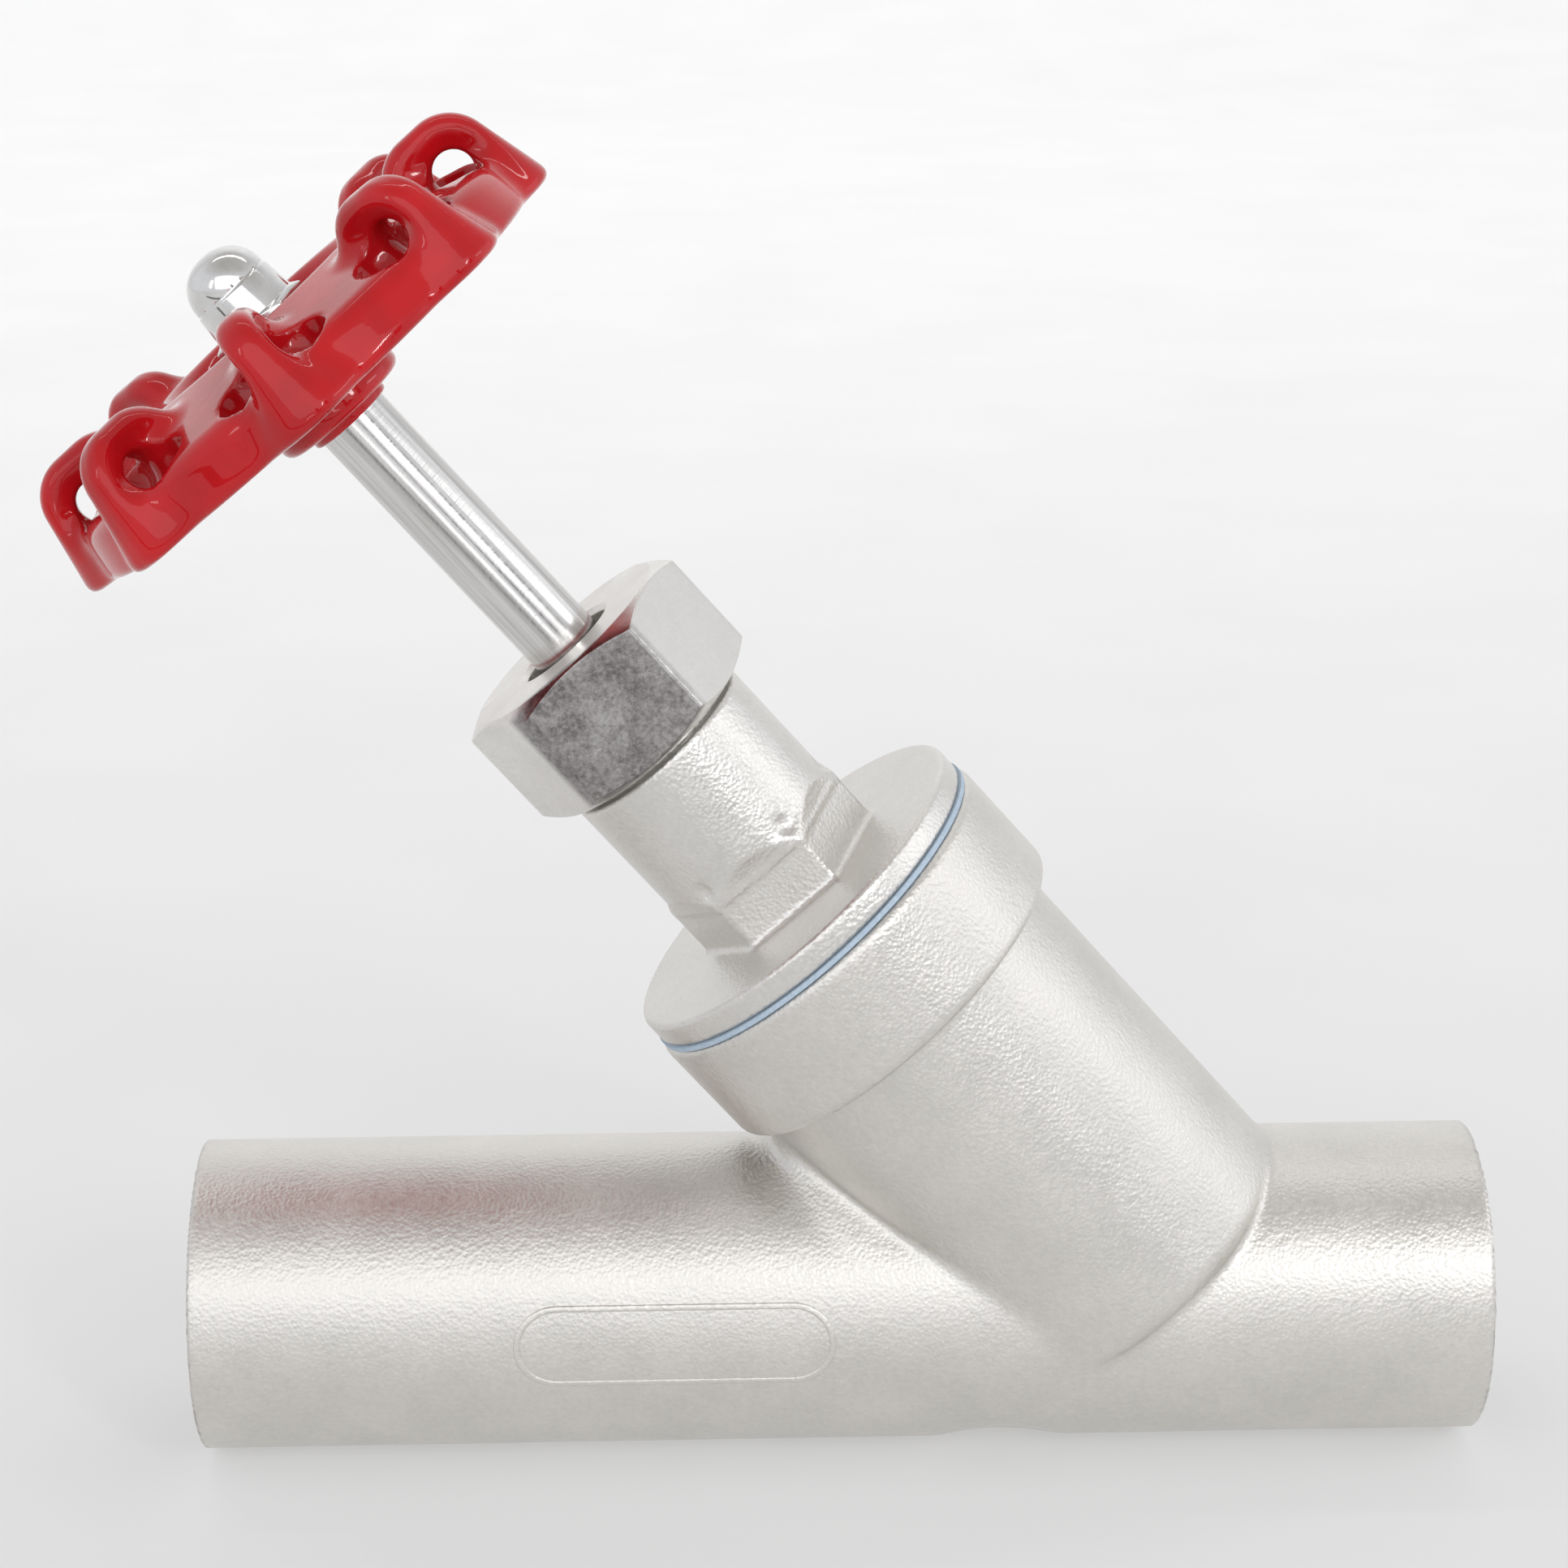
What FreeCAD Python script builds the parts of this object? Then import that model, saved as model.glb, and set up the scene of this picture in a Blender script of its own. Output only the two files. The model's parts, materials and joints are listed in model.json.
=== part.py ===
import FreeCAD, Part
import Sketcher
import math
import os

# Inclined-seat globe valve with butt-weld ends, in millimetres.
#
# Row frame: the origin is the centre of the outlet's weld face, +X runs along the pipe
# axis to the inlet, and +Z is up in the plane that holds the stem.
# Everything on the stem is drawn in a local frame of its own: local Z is the stem axis,
# and "station" is the distance along it from the point where it crosses the pipe axis.

DIMENSIONS = [
    ("outlet_length", 105.4, "outlet weld face to axis crossing"),
    ("inlet_length", 33.7, "axis crossing to inlet weld face"),
    ("stem_angle", 49.0, "stem axis above the pipe axis, degrees"),
    ("pipe_radius", 16.85, "outside radius of both pipe legs"),
    ("weld_bore_radius", 14.25, "machined bore of the weld ends"),
    ("weld_bore_length", 14.0, "length of that bore"),
    ("waterway_radius", 13.6, "cast waterway between the weld ends"),
    ("branch_radius", 19.3, "outside of the branch"),
    ("branch_bottom", 3.6, "station of the branch's lower end"),
    ("branch_edge", 2.0, "rounding of that end"),
    ("chamber_radius", 15.8, "inside of the branch"),
    ("seat_wall_bottom", 3.3, "underside of the seat wall"),
    ("seat_wall_top", 6.4, "top of the seat wall"),
    ("seat_radius", 12.0, "seat opening"),
    ("seat_lip_radius", 13.2, "outside of the raised seat lip"),
    ("seat_lip_top", 8.0, "station of the seat face"),
    ("collar_radius", 21.8, "outside of the collar"),
    ("collar_bottom", 45.8, "lower edge of the collar"),
    ("collar_top", 58.9, "gasket face of the collar"),
    ("collar_edge", 1.1, "rounding of the collar's lower edge"),
    ("collar_thread_radius", 18.2, "threaded bore of the collar"),
    ("collar_thread_bottom", 46.6, "lower end of that bore"),
    ("gasket_thickness", 0.5, "bonnet gasket"),
    ("gasket_radius", 21.5, "outside of the bonnet gasket"),
    ("flange_radius", 21.3, "outside of the bonnet flange"),
    ("flange_top", 62.3, "top of the bonnet flange"),
    ("flange_edge", 0.9, "rounding of the flange's rim"),
    ("bonnet_thread_radius", 18.1, "bonnet's male thread"),
    ("bonnet_bottom", 47.4, "lower end of the bonnet"),
    ("bonnet_dish_radius", 12.5, "dish in the bonnet's underside"),
    ("bonnet_dish_top", 50.0, "depth of that dish"),
    ("bonnet_hex_flats", 20.0, "spanner flats of the bonnet"),
    ("bonnet_hex_top", 69.4, "upper end of the flats"),
    ("bonnet_hex_turn", 2.1, "turn of the flats about the stem, degrees"),
    ("neck_radius", 10.95, "bonnet neck"),
    ("neck_top", 83.7, "upper end of the plain neck"),
    ("neck_thread_radius", 9.9, "thread for the packing nut"),
    ("neck_thread_top", 92.0, "top of that thread"),
    ("stem_nut_radius", 5.0, "stem thread in the bonnet"),
    ("stem_nut_top", 68.0, "upper end of that thread"),
    ("relief_radius", 5.6, "relief above that thread"),
    ("backseat", 75.0, "shoulder that stops the stem"),
    ("box_radius", 6.5, "stuffing box"),
    ("box_bottom", 76.2, "floor of the stuffing box"),
    ("stem_hole_radius", 4.03, "holes the stem slides in"),
    ("nut_flats", 24.8, "packing nut across flats"),
    ("nut_bottom", 85.1, "lower face of the packing nut"),
    ("nut_top", 98.0, "upper face of the packing nut"),
    ("nut_turn", 6.3, "turn of the nut about the stem, degrees"),
    ("nut_shoulder", 93.4, "inner shoulder that presses the gland"),
    ("nut_hole_radius", 5.45, "hole in the nut's top"),
    ("gland_radius", 6.4, "gland in the stuffing box"),
    ("gland_flange_radius", 8.6, "flange of the gland"),
    ("gland_flange_bottom", 92.2, "lower face of that flange"),
    ("gland_bottom", 88.2, "lower end of the gland"),
    ("gland_neck_radius", 5.3, "gland neck in the nut's hole"),
    ("gland_top", 95.2, "upper end of the gland"),
    ("packing_bottom", 77.4, "top of the packing washer"),
    ("packing_pitch", 2.1, "height of one packing ring"),
    ("packing_rise", 1.1, "rise of the ring's chevron"),
    ("stem_radius", 3.95, "plain stem"),
    ("stem_thread_radius", 4.95, "threaded part of the stem"),
    ("stem_thread_bottom", 50.0, "lower end of that thread"),
    ("stem_thread_top", 74.0, "upper end of that thread"),
    ("stem_shank_radius", 4.4, "shank below the thread"),
    ("stem_head_radius", 6.5, "head that turns in the disc"),
    ("stem_head_bottom", 28.5, "lower face of the head"),
    ("stem_head_top", 31.0, "upper face of the head"),
    ("stem_square", 6.0, "square for the handwheel"),
    ("stem_tip_radius", 2.4, "thread for the cap nut"),
    ("stem_tip", 147.0, "end of the stem"),
    ("disc_radius", 14.3, "disc"),
    ("disc_bottom", 24.0, "seal side of the disc"),
    ("disc_plate_top", 27.4, "back of the disc plate"),
    ("disc_boss_radius", 9.6, "boss of the disc"),
    ("disc_top", 36.0, "upper end of the boss"),
    ("disc_pocket_radius", 6.6, "pocket for the stem's head"),
    ("disc_pocket_bottom", 28.3, "floor of that pocket"),
    ("ring_seat", 31.3, "shoulder under the retaining ring"),
    ("ring_thread_radius", 7.6, "thread of the retaining ring"),
    ("ring_hole_radius", 5.1, "hole of the retaining ring"),
    ("stud_radius", 4.0, "stud below the disc"),
    ("stud_bottom", 13.6, "lower end of the stud"),
    ("seal_bottom", 21.05, "sealing face when the valve is open"),
    ("seal_radius", 14.1, "seat seal"),
    ("seal_washer_bottom", 19.5, "lower face of the seal washer"),
    ("seal_washer_radius", 9.6, "seal washer"),
    ("seal_nut_bottom", 14.6, "lower face of the seal nut"),
    ("seal_nut_flats", 13.0, "seal nut across flats"),
    ("hub_bottom", 130.8, "lower face of the handwheel hub"),
    ("hub_radius", 7.65, "hub"),
    ("hub_top", 138.6, "floor of the recess round the cap nut"),
    ("recess_radius", 9.0, "that recess"),
    ("rim_bottom", 134.3, "lower edge of the rim"),
    ("rim_radius", 28.9, "rim between the lobes"),
    ("rim_wall", 2.9, "rim's wall"),
    ("rim_height", 5.8, "height of the rim between the lobes"),
    ("crest_top", 143.5, "ring round the recess"),
    ("crest_radius", 12.0, "inner edge of that ring"),
    ("crest_width", 3.0, "its flat width"),
    ("web_thickness", 3.2, "web under the crest"),
    ("lobe_top", 146.9, "top of the lobes"),
    ("lobe_radius", 31.7, "outer edge of the lobes"),
    ("lobe_width", 9.4, "width of one lobe"),
    ("lobe_turn", 7.0, "turn of the front lobe towards the inlet side, degrees"),
    ("lobe_hole_radius", 2.1, "hole across each lobe"),
    ("lobe_hole_circle", 24.6, "distance of that hole from the stem axis"),
    ("lobe_hole_station", 140.9, "station of that hole"),
    ("wheel_washer_thickness", 1.0, "washer on the hub"),
    ("wheel_washer_radius", 5.7, "that washer"),
    ("spring_washer_thickness", 1.1, "spring washer on it"),
    ("spring_washer_radius", 4.6, "that spring washer"),
    ("cap_flats", 10.0, "cap nut across flats"),
    ("cap_hex_top", 144.6, "upper end of its hexagon"),
    ("cap_dome_radius", 4.9, "foot of its dome"),
    ("cap_tip", 151.7, "top of its dome"),
    ("panel_centre", 51.6, "blank marking panel, from the outlet face"),
    ("panel_length", 33.6, "that panel"),
    ("panel_width", 8.6, "that panel"),
    ("panel_height", 0.25, "how far it stands proud"),
    ("panel_rise", 3.5, "its middle above the pipe's middle, degrees"),
    ("gate_sweep", 23.0, "radius of the grinding mark at the casting gate"),
    ("gate_depth", 0.9, "depth of that mark"),
    ("gate_distance", 87.0, "its distance from the outlet face"),
    ("gate_rise", -60.0, "its angle above the pipe's middle, degrees"),
]

LOBES = 8
SHEET = "sizes"
HALF_TURN = 180.0
QUARTER_TURN = 90.0
# Far enough to pass through anything in the part.
THROUGH = 200.0
# Running and assembly clearances, per side.
THREAD_GAP = 0.05
SLIP_GAP = 0.1


class Size:
    """A number that keeps the sheet formula it comes from."""

    def __init__(self, value, formula):
        self.value = float(value)
        self.formula = formula

    def combined(self, other, sign):
        other = as_size(other)
        value = {"+": self.value + other.value, "-": self.value - other.value}[sign]
        return Size(value, "(" + self.formula + " " + sign + " " + other.formula + ")")

    def __add__(self, other):
        return self.combined(other, "+")

    def __sub__(self, other):
        return self.combined(other, "-")

    def __mul__(self, factor):
        factor = float(factor)
        return Size(self.value * factor, "(" + self.formula + " * " + repr(factor) + ")")

    def __neg__(self):
        return self * -1.0


def as_size(number):
    if isinstance(number, Size):
        return number
    return Size(number, repr(float(number)))


def make_sheet(doc):
    sheet = doc.addObject("Spreadsheet::Sheet", SHEET)
    for row, (alias, value, meaning) in enumerate(DIMENSIONS, start=1):
        sheet.set("A" + str(row), meaning)
        sheet.set("B" + str(row), str(value))
        sheet.setAlias("B" + str(row), alias)
    doc.recompute()


def bind(item, prop, size):
    item.setExpression(prop, as_size(size).formula)


doc = FreeCAD.newDocument("globe_valve")
make_sheet(doc)
S = {alias: Size(value, SHEET + "." + alias) for alias, value, _ in DIMENSIONS}


# ---------------------------------------------------------------- drawing helpers

def put_on_stem_axis(item):
    """Place a piece drawn about local Z on the stem axis."""
    tilt = FreeCAD.Rotation(FreeCAD.Vector(0, 1, 0), S["stem_angle"].value - QUARTER_TURN)
    item.Placement = FreeCAD.Placement(FreeCAD.Vector(S["outlet_length"].value, 0, 0), tilt)
    bind(item, "Placement.Base.x", S["outlet_length"])
    bind(item, "Placement.Rotation.Angle", S["stem_angle"] - QUARTER_TURN)


def new_body(name):
    body = doc.addObject("PartDesign::Body", name)
    body.Label = name
    return body


def plane_of(body, role):
    for feature in body.Origin.OriginFeatures:
        if feature.Role == role:
            return feature
    raise ValueError("no " + role + " in " + body.Name)


def new_sketch(body, name, role, offset=None):
    sketch = body.newObject("Sketcher::SketchObject", name)
    sketch.AttachmentSupport = (plane_of(body, role), [""])
    sketch.MapMode = "FlatFace"
    if offset is not None:
        bind(sketch, "AttachmentOffset.Base.z", offset)
    return sketch


def pin_coordinate(sketch, line, kind, size):
    """Tie one coordinate of a line's first point to the sheet."""
    axis = {"DistanceX": -2, "DistanceY": -1}[kind]
    if abs(size.value) < 1e-9:
        sketch.addConstraint(Sketcher.Constraint("PointOnObject", line, 1, axis))
        return
    index = sketch.addConstraint(Sketcher.Constraint(kind, -1, 1, line, 1, size.value))
    sketch.setExpression("Constraints[" + str(index) + "]", size.formula)


def draw_loop(sketch, points):
    """Draw a closed outline whose corners are all tied to the sheet."""
    corners = [(as_size(across), as_size(along)) for across, along in points]
    places = [FreeCAD.Vector(across.value, along.value, 0) for across, along in corners]
    first = sketch.GeometryCount
    count = len(corners)
    for index in range(count):
        sketch.addGeometry(Part.LineSegment(places[index], places[(index + 1) % count]), False)
    for index in range(count):
        after = first + (index + 1) % count
        sketch.addConstraint(Sketcher.Constraint("Coincident", first + index, 2, after, 1))
    for index, (across, along) in enumerate(corners):
        pin_coordinate(sketch, first + index, "DistanceX", across)
        pin_coordinate(sketch, first + index, "DistanceY", along)


def draw_circle(sketch, across, along, radius):
    centre = FreeCAD.Vector(across.value, along.value, 0)
    circle = Part.Circle(centre, FreeCAD.Vector(0, 0, 1), radius.value)
    index = sketch.addGeometry(circle, False)
    for kind, size in (("DistanceX", across), ("DistanceY", along)):
        tie = sketch.addConstraint(Sketcher.Constraint(kind, -1, 1, index, 3, size.value))
        sketch.setExpression("Constraints[" + str(tie) + "]", size.formula)
    tie = sketch.addConstraint(Sketcher.Constraint("Radius", index, radius.value))
    sketch.setExpression("Constraints[" + str(tie) + "]", radius.formula)


def turn(body, kind, name, loops):
    """Revolve or groove outlines given as (radius, station) about local Z."""
    sketch = new_sketch(body, name + "_profile", "XZ_Plane")
    for loop in loops:
        draw_loop(sketch, loop)
    feature = body.newObject("PartDesign::" + kind, name)
    feature.Profile = sketch
    feature.ReferenceAxis = (sketch, ["V_Axis"])
    feature.Angle = 2 * HALF_TURN
    doc.recompute()
    return feature


def polygon(flats, sides, turned):
    """Corners of a regular polygon of a given width across flats."""
    across_corners = 1.0 / math.cos(math.pi / sides)
    corners = []
    for index in range(sides):
        angle = math.radians(turned) + 2 * math.pi * index / sides
        reach = flats * (0.5 * across_corners)
        corners.append((reach * math.cos(angle), reach * math.sin(angle)))
    return corners


def prism(body, kind, name, corners, bottom, top):
    """Pad or pocket an outline between two stations."""
    height = as_size(top) - bottom
    sketch = new_sketch(body, name + "_outline", "XY_Plane", bottom)
    for loop in corners:
        draw_loop(sketch, loop)
    feature = body.newObject("PartDesign::" + kind, name)
    feature.Profile = sketch
    bind(feature, "Length", height)
    if kind == "Pocket":
        feature.Reversed = True
    doc.recompute()
    return feature


def circle_edges(feature, wanted):
    """Names of the feature's round edges at the wanted (radius, station) pairs."""
    names = []
    for index, edge in enumerate(feature.Shape.Edges, start=1):
        if not isinstance(edge.Curve, Part.Circle):
            continue
        for radius, station in wanted:
            same_radius = abs(edge.Curve.Radius - radius.value) < 1e-4
            if same_radius and abs(edge.Curve.Center.z - station.value) < 1e-4:
                names.append("Edge" + str(index))
    return names


def dress(body, kind, name, base, wanted, size):
    """Fillet or chamfer round edges of a body's newest feature."""
    feature = body.newObject("PartDesign::" + kind, name)
    feature.Base = (base, circle_edges(base, wanted))
    bind(feature, {"Fillet": "Radius", "Chamfer": "Size"}[kind], size)
    doc.recompute()
    return feature


def ring(name, inner, outer, bottom, top):
    """A plain washer or sleeve on the stem axis, cut from two cylinders."""
    height = as_size(top) - bottom
    pair = []
    for role, radius in (("blank", outer), ("hole", inner)):
        cylinder = doc.addObject("Part::Cylinder", name + "_" + role)
        bind(cylinder, "Radius", radius)
        bind(cylinder, "Height", height)
        bind(cylinder, "Placement.Base.z", bottom)
        pair.append(cylinder)
    cut = doc.addObject("Part::Cut", name)
    cut.Base, cut.Tool = pair
    cut.Label = name
    put_on_stem_axis(cut)
    return cut


def hex_relief(flats, bottom, top):
    """Outlines that turn a 30 degree chamfer on both ends of a hexagon."""
    inside = flats * 0.49
    outside = flats * 0.62
    drop = (outside - inside) * math.tan(math.radians(30.0))
    upper = [(inside, top), (outside, top), (outside, top - drop)]
    lower = [(inside, bottom), (outside, bottom + drop), (outside, bottom)]
    return [upper, lower]


# ---------------------------------------------------------------- fixed pieces

def pipe_rod(name, radius, start, end):
    """A round rod along the pipe axis between two distances from the outlet face."""
    rod = doc.addObject("Part::Cylinder", name)
    rod.Placement = FreeCAD.Placement(
        FreeCAD.Vector(0, 0, 0), FreeCAD.Rotation(FreeCAD.Vector(0, 1, 0), QUARTER_TURN))
    bind(rod, "Radius", radius)
    bind(rod, "Height", as_size(end) - start)
    bind(rod, "Placement.Base.x", start)
    return rod


def joined(kind, name, shapes):
    group = doc.addObject("Part::" + kind, name)
    group.Shapes = shapes
    return group


def stem_slab(name, bottom, top):
    """A wide slab square to the stem axis, used to part the waterway at the seat wall."""
    slab = doc.addObject("Part::Cylinder", name)
    slab.Radius = THROUGH
    bind(slab, "Height", as_size(top) - bottom)
    tilt = (S["stem_angle"] - QUARTER_TURN)
    slab.Placement = FreeCAD.Placement(
        FreeCAD.Vector(0, 0, 0), FreeCAD.Rotation(FreeCAD.Vector(0, 1, 0), tilt.value))
    reach = as_size(bottom)
    along_x = math.cos(math.radians(S["stem_angle"].value))
    along_z = math.sin(math.radians(S["stem_angle"].value))
    bind(slab, "Placement.Base.x", S["outlet_length"] - reach * along_x)
    bind(slab, "Placement.Base.z", reach * along_z)
    bind(slab, "Placement.Rotation.Angle", tilt)
    return slab


def waterway_leg(name, start, end, low, high):
    """The cast waterway on one side of the seat wall."""
    rod = pipe_rod(name + "_rod", S["waterway_radius"], start, end)
    slab = stem_slab(name + "_slab", low, high)
    leg = doc.addObject("Part::Common", name)
    leg.Base = rod
    leg.Tool = slab
    return leg


def facing_front(rise):
    """Rotation that turns local Z to the front of the pipe, then up by rise degrees."""
    return FreeCAD.Rotation(FreeCAD.Vector(1, 0, 0), QUARTER_TURN - rise.value)


def marking_panel():
    """Blank raised panel with round ends on the front of the outlet leg."""
    flat = S["panel_length"] - S["panel_width"]
    pieces = []
    block = doc.addObject("Part::Box", "panel_block")
    bind(block, "Length", flat)
    bind(block, "Width", S["panel_width"])
    block.Height = THROUGH
    block.Placement.Base = FreeCAD.Vector(-flat.value / 2, -S["panel_width"].value / 2, 0)
    bind(block, "Placement.Base.x", flat * -0.5)
    bind(block, "Placement.Base.y", S["panel_width"] * -0.5)
    pieces.append(block)
    for side, name in ((-0.5, "panel_outlet_end"), (0.5, "panel_inlet_end")):
        end = doc.addObject("Part::Cylinder", name)
        bind(end, "Radius", S["panel_width"] * 0.5)
        end.Height = THROUGH
        bind(end, "Placement.Base.x", flat * side)
        pieces.append(end)
    prism_shape = joined("MultiFuse", "panel_prism", pieces)
    prism_shape.Placement = FreeCAD.Placement(
        FreeCAD.Vector(S["panel_centre"].value, 0, 0), facing_front(S["panel_rise"]))
    bind(prism_shape, "Placement.Base.x", S["panel_centre"])
    skin = pipe_rod("panel_skin", S["pipe_radius"] + S["panel_height"], 0.0,
                    S["outlet_length"])
    panel = doc.addObject("Part::Common", "panel")
    panel.Base = skin
    panel.Tool = prism_shape
    return panel


def gate_mark():
    """Wheel that grinds the casting gate off the underside, as a shallow hollow."""
    wheel = doc.addObject("Part::Cylinder", "gate_mark")
    bind(wheel, "Radius", S["gate_sweep"])
    wheel.Height = THROUGH
    # The wheel's spindle lies square to the pipe and to the direction it grinds from.
    rise = math.radians(S["gate_rise"].value)
    outward = FreeCAD.Vector(0, -math.cos(rise), math.sin(rise))
    spindle = outward.cross(FreeCAD.Vector(1, 0, 0))
    reach = S["pipe_radius"].value + S["gate_sweep"].value - S["gate_depth"].value
    centre = outward * reach - spindle * (THROUGH / 2)
    centre.x = S["gate_distance"].value
    turned = FreeCAD.Rotation(FreeCAD.Vector(0, 0, 1), spindle)
    wheel.Placement = FreeCAD.Placement(centre, turned)
    bind(wheel, "Placement.Base.x", S["gate_distance"])
    return wheel


def branch_outside():
    body = new_body("branch_outside")
    outline = [
        (0.0, S["branch_bottom"]),
        (S["branch_radius"], S["branch_bottom"]),
        (S["branch_radius"], S["collar_bottom"]),
        (S["collar_radius"], S["collar_bottom"]),
        (S["collar_radius"], S["collar_top"]),
        (0.0, S["collar_top"]),
    ]
    blank = turn(body, "Revolution", "branch_blank", [outline])
    foot = [(S["branch_radius"], S["branch_bottom"])]
    rounded = dress(body, "Fillet", "branch_foot", blank, foot, S["branch_edge"])
    lip = [(S["collar_radius"], S["collar_bottom"])]
    dress(body, "Fillet", "collar_lip", rounded, lip, S["collar_edge"])
    put_on_stem_axis(body)
    return body


def branch_inside():
    body = new_body("branch_inside")
    outline = [
        (0.0, S["seat_wall_top"]),
        (S["chamber_radius"], S["seat_wall_top"]),
        (S["chamber_radius"], S["collar_thread_bottom"]),
        (S["collar_thread_radius"], S["collar_thread_bottom"]),
        (S["collar_thread_radius"], S["collar_top"] + 1.0),
        (0.0, S["collar_top"] + 1.0),
    ]
    turn(body, "Revolution", "chamber", [outline])
    put_on_stem_axis(body)
    return body


def seat_lip():
    """Raised lip round the opening, rooted in the seat wall."""
    root = (S["seat_wall_bottom"] + S["seat_wall_top"]) * 0.5
    body = new_body("seat_lip")
    outline = [
        (0.0, root),
        (S["seat_lip_radius"], root),
        (S["seat_lip_radius"], S["seat_lip_top"]),
        (0.0, S["seat_lip_top"]),
    ]
    turn(body, "Revolution", "lip", [outline])
    put_on_stem_axis(body)
    return body


def seat_opening():
    hole = doc.addObject("Part::Cylinder", "seat_opening")
    bind(hole, "Radius", S["seat_radius"])
    bind(hole, "Height", S["seat_lip_top"] + 1.0)
    put_on_stem_axis(hole)
    return hole


def carved(base, cavities):
    """The base with each cavity cut out of it in turn."""
    for cavity in cavities:
        cut = doc.addObject("Part::Cut", "without_" + cavity.Name)
        cut.Base = base
        cut.Tool = cavity
        base = cut
    return base


def make_valve_body():
    """One casting: pipe, branch with its collar, seat wall and marking panel."""
    whole = S["outlet_length"] + S["inlet_length"]
    outside = joined("MultiFuse", "body_outside", [
        pipe_rod("pipe_outside", S["pipe_radius"], 0.0, whole),
        branch_outside(),
        marking_panel(),
    ])
    inlet_start = whole - S["weld_bore_length"]
    # The outlet side lies above the seat wall and the inlet side below it.
    hollow = carved(outside, [
        gate_mark(),
        branch_inside(),
        waterway_leg("outlet_leg", 1.0, S["outlet_length"] + 20.0,
                     S["seat_wall_top"], THROUGH),
    ])
    with_lip = joined("MultiFuse", "body_with_seat", [hollow, seat_lip()])
    finished = carved(with_lip, [
        waterway_leg("inlet_leg", 40.0, whole - 1.0, -THROUGH, S["seat_wall_bottom"]),
        seat_opening(),
        pipe_rod("outlet_weld_bore", S["weld_bore_radius"], -1.0, S["weld_bore_length"]),
        pipe_rod("inlet_weld_bore", S["weld_bore_radius"], inlet_start, whole + 1.0),
    ])
    finished.Label = "body"


def make_bonnet():
    body = new_body("bonnet")
    gasket_top = S["collar_top"] + S["gasket_thickness"]
    core = S["bonnet_hex_flats"] * 0.49
    outline = [
        (S["stem_nut_radius"], S["bonnet_dish_top"]),
        (S["bonnet_dish_radius"], S["bonnet_dish_top"]),
        (S["bonnet_dish_radius"], S["bonnet_bottom"]),
        (S["bonnet_thread_radius"], S["bonnet_bottom"]),
        (S["bonnet_thread_radius"], gasket_top),
        (S["flange_radius"], gasket_top),
        (S["flange_radius"], S["flange_top"]),
        (core, S["flange_top"]),
        (core, S["bonnet_hex_top"]),
        (S["neck_radius"], S["bonnet_hex_top"]),
        (S["neck_radius"], S["neck_top"]),
        (S["neck_thread_radius"], S["neck_top"]),
        (S["neck_thread_radius"], S["neck_thread_top"]),
        (S["box_radius"], S["neck_thread_top"]),
        (S["box_radius"], S["box_bottom"]),
        (S["stem_hole_radius"], S["box_bottom"]),
        (S["stem_hole_radius"], S["backseat"]),
        (S["relief_radius"], S["backseat"]),
        (S["relief_radius"], S["stem_nut_top"]),
        (S["stem_nut_radius"], S["stem_nut_top"]),
    ]
    blank = turn(body, "Revolution", "bonnet_blank", [outline])
    rim = [(S["flange_radius"], S["flange_top"])]
    dress(body, "Fillet", "flange_rim", blank, rim, S["flange_edge"])
    flats = polygon(S["bonnet_hex_flats"], 6, S["bonnet_hex_turn"].value)
    bore = polygon(S["relief_radius"] * 2.4, 12, 0.0)
    prism(body, "Pad", "bonnet_hexagon", [flats, bore], S["flange_top"], S["bonnet_hex_top"])
    put_on_stem_axis(body)
    return body


def make_packing():
    """Packing washer, bottom adapter, three chevron rings and top adapter."""
    inner = S["stem_hole_radius"]
    outer = S["box_radius"] - THREAD_GAP
    ring("packing_washer", inner, outer, S["box_bottom"], S["packing_bottom"])
    middle = (inner + outer) * 0.5
    rise = S["packing_rise"]
    foot = S["packing_bottom"]
    names = ["packing_bottom_adapter", "packing_ring_1", "packing_ring_2",
             "packing_ring_3", "packing_top_adapter"]
    last = len(names) - 1
    for index, name in enumerate(names):
        low = foot + S["packing_pitch"] * index
        high = low + S["packing_pitch"]
        outline = [(inner, low)]
        if index > 0:
            outline.append((middle, low + rise))
        outline.append((outer, low))
        if index == last:
            high = S["gland_bottom"]
        outline.append((outer, high))
        if index < last:
            outline.append((middle, high + rise))
        outline.append((inner, high))
        body = new_body(name)
        turn(body, "Revolution", name + "_turned", [outline])
        put_on_stem_axis(body)


def make_gland():
    body = new_body("gland_bush")
    outline = [
        (S["stem_hole_radius"], S["gland_bottom"]),
        (S["gland_radius"], S["gland_bottom"]),
        (S["gland_radius"], S["gland_flange_bottom"]),
        (S["gland_flange_radius"], S["gland_flange_bottom"]),
        (S["gland_flange_radius"], S["nut_shoulder"]),
        (S["gland_neck_radius"], S["nut_shoulder"]),
        (S["gland_neck_radius"], S["gland_top"]),
        (S["stem_hole_radius"], S["gland_top"]),
    ]
    turn(body, "Revolution", "gland_turned", [outline])
    put_on_stem_axis(body)


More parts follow.
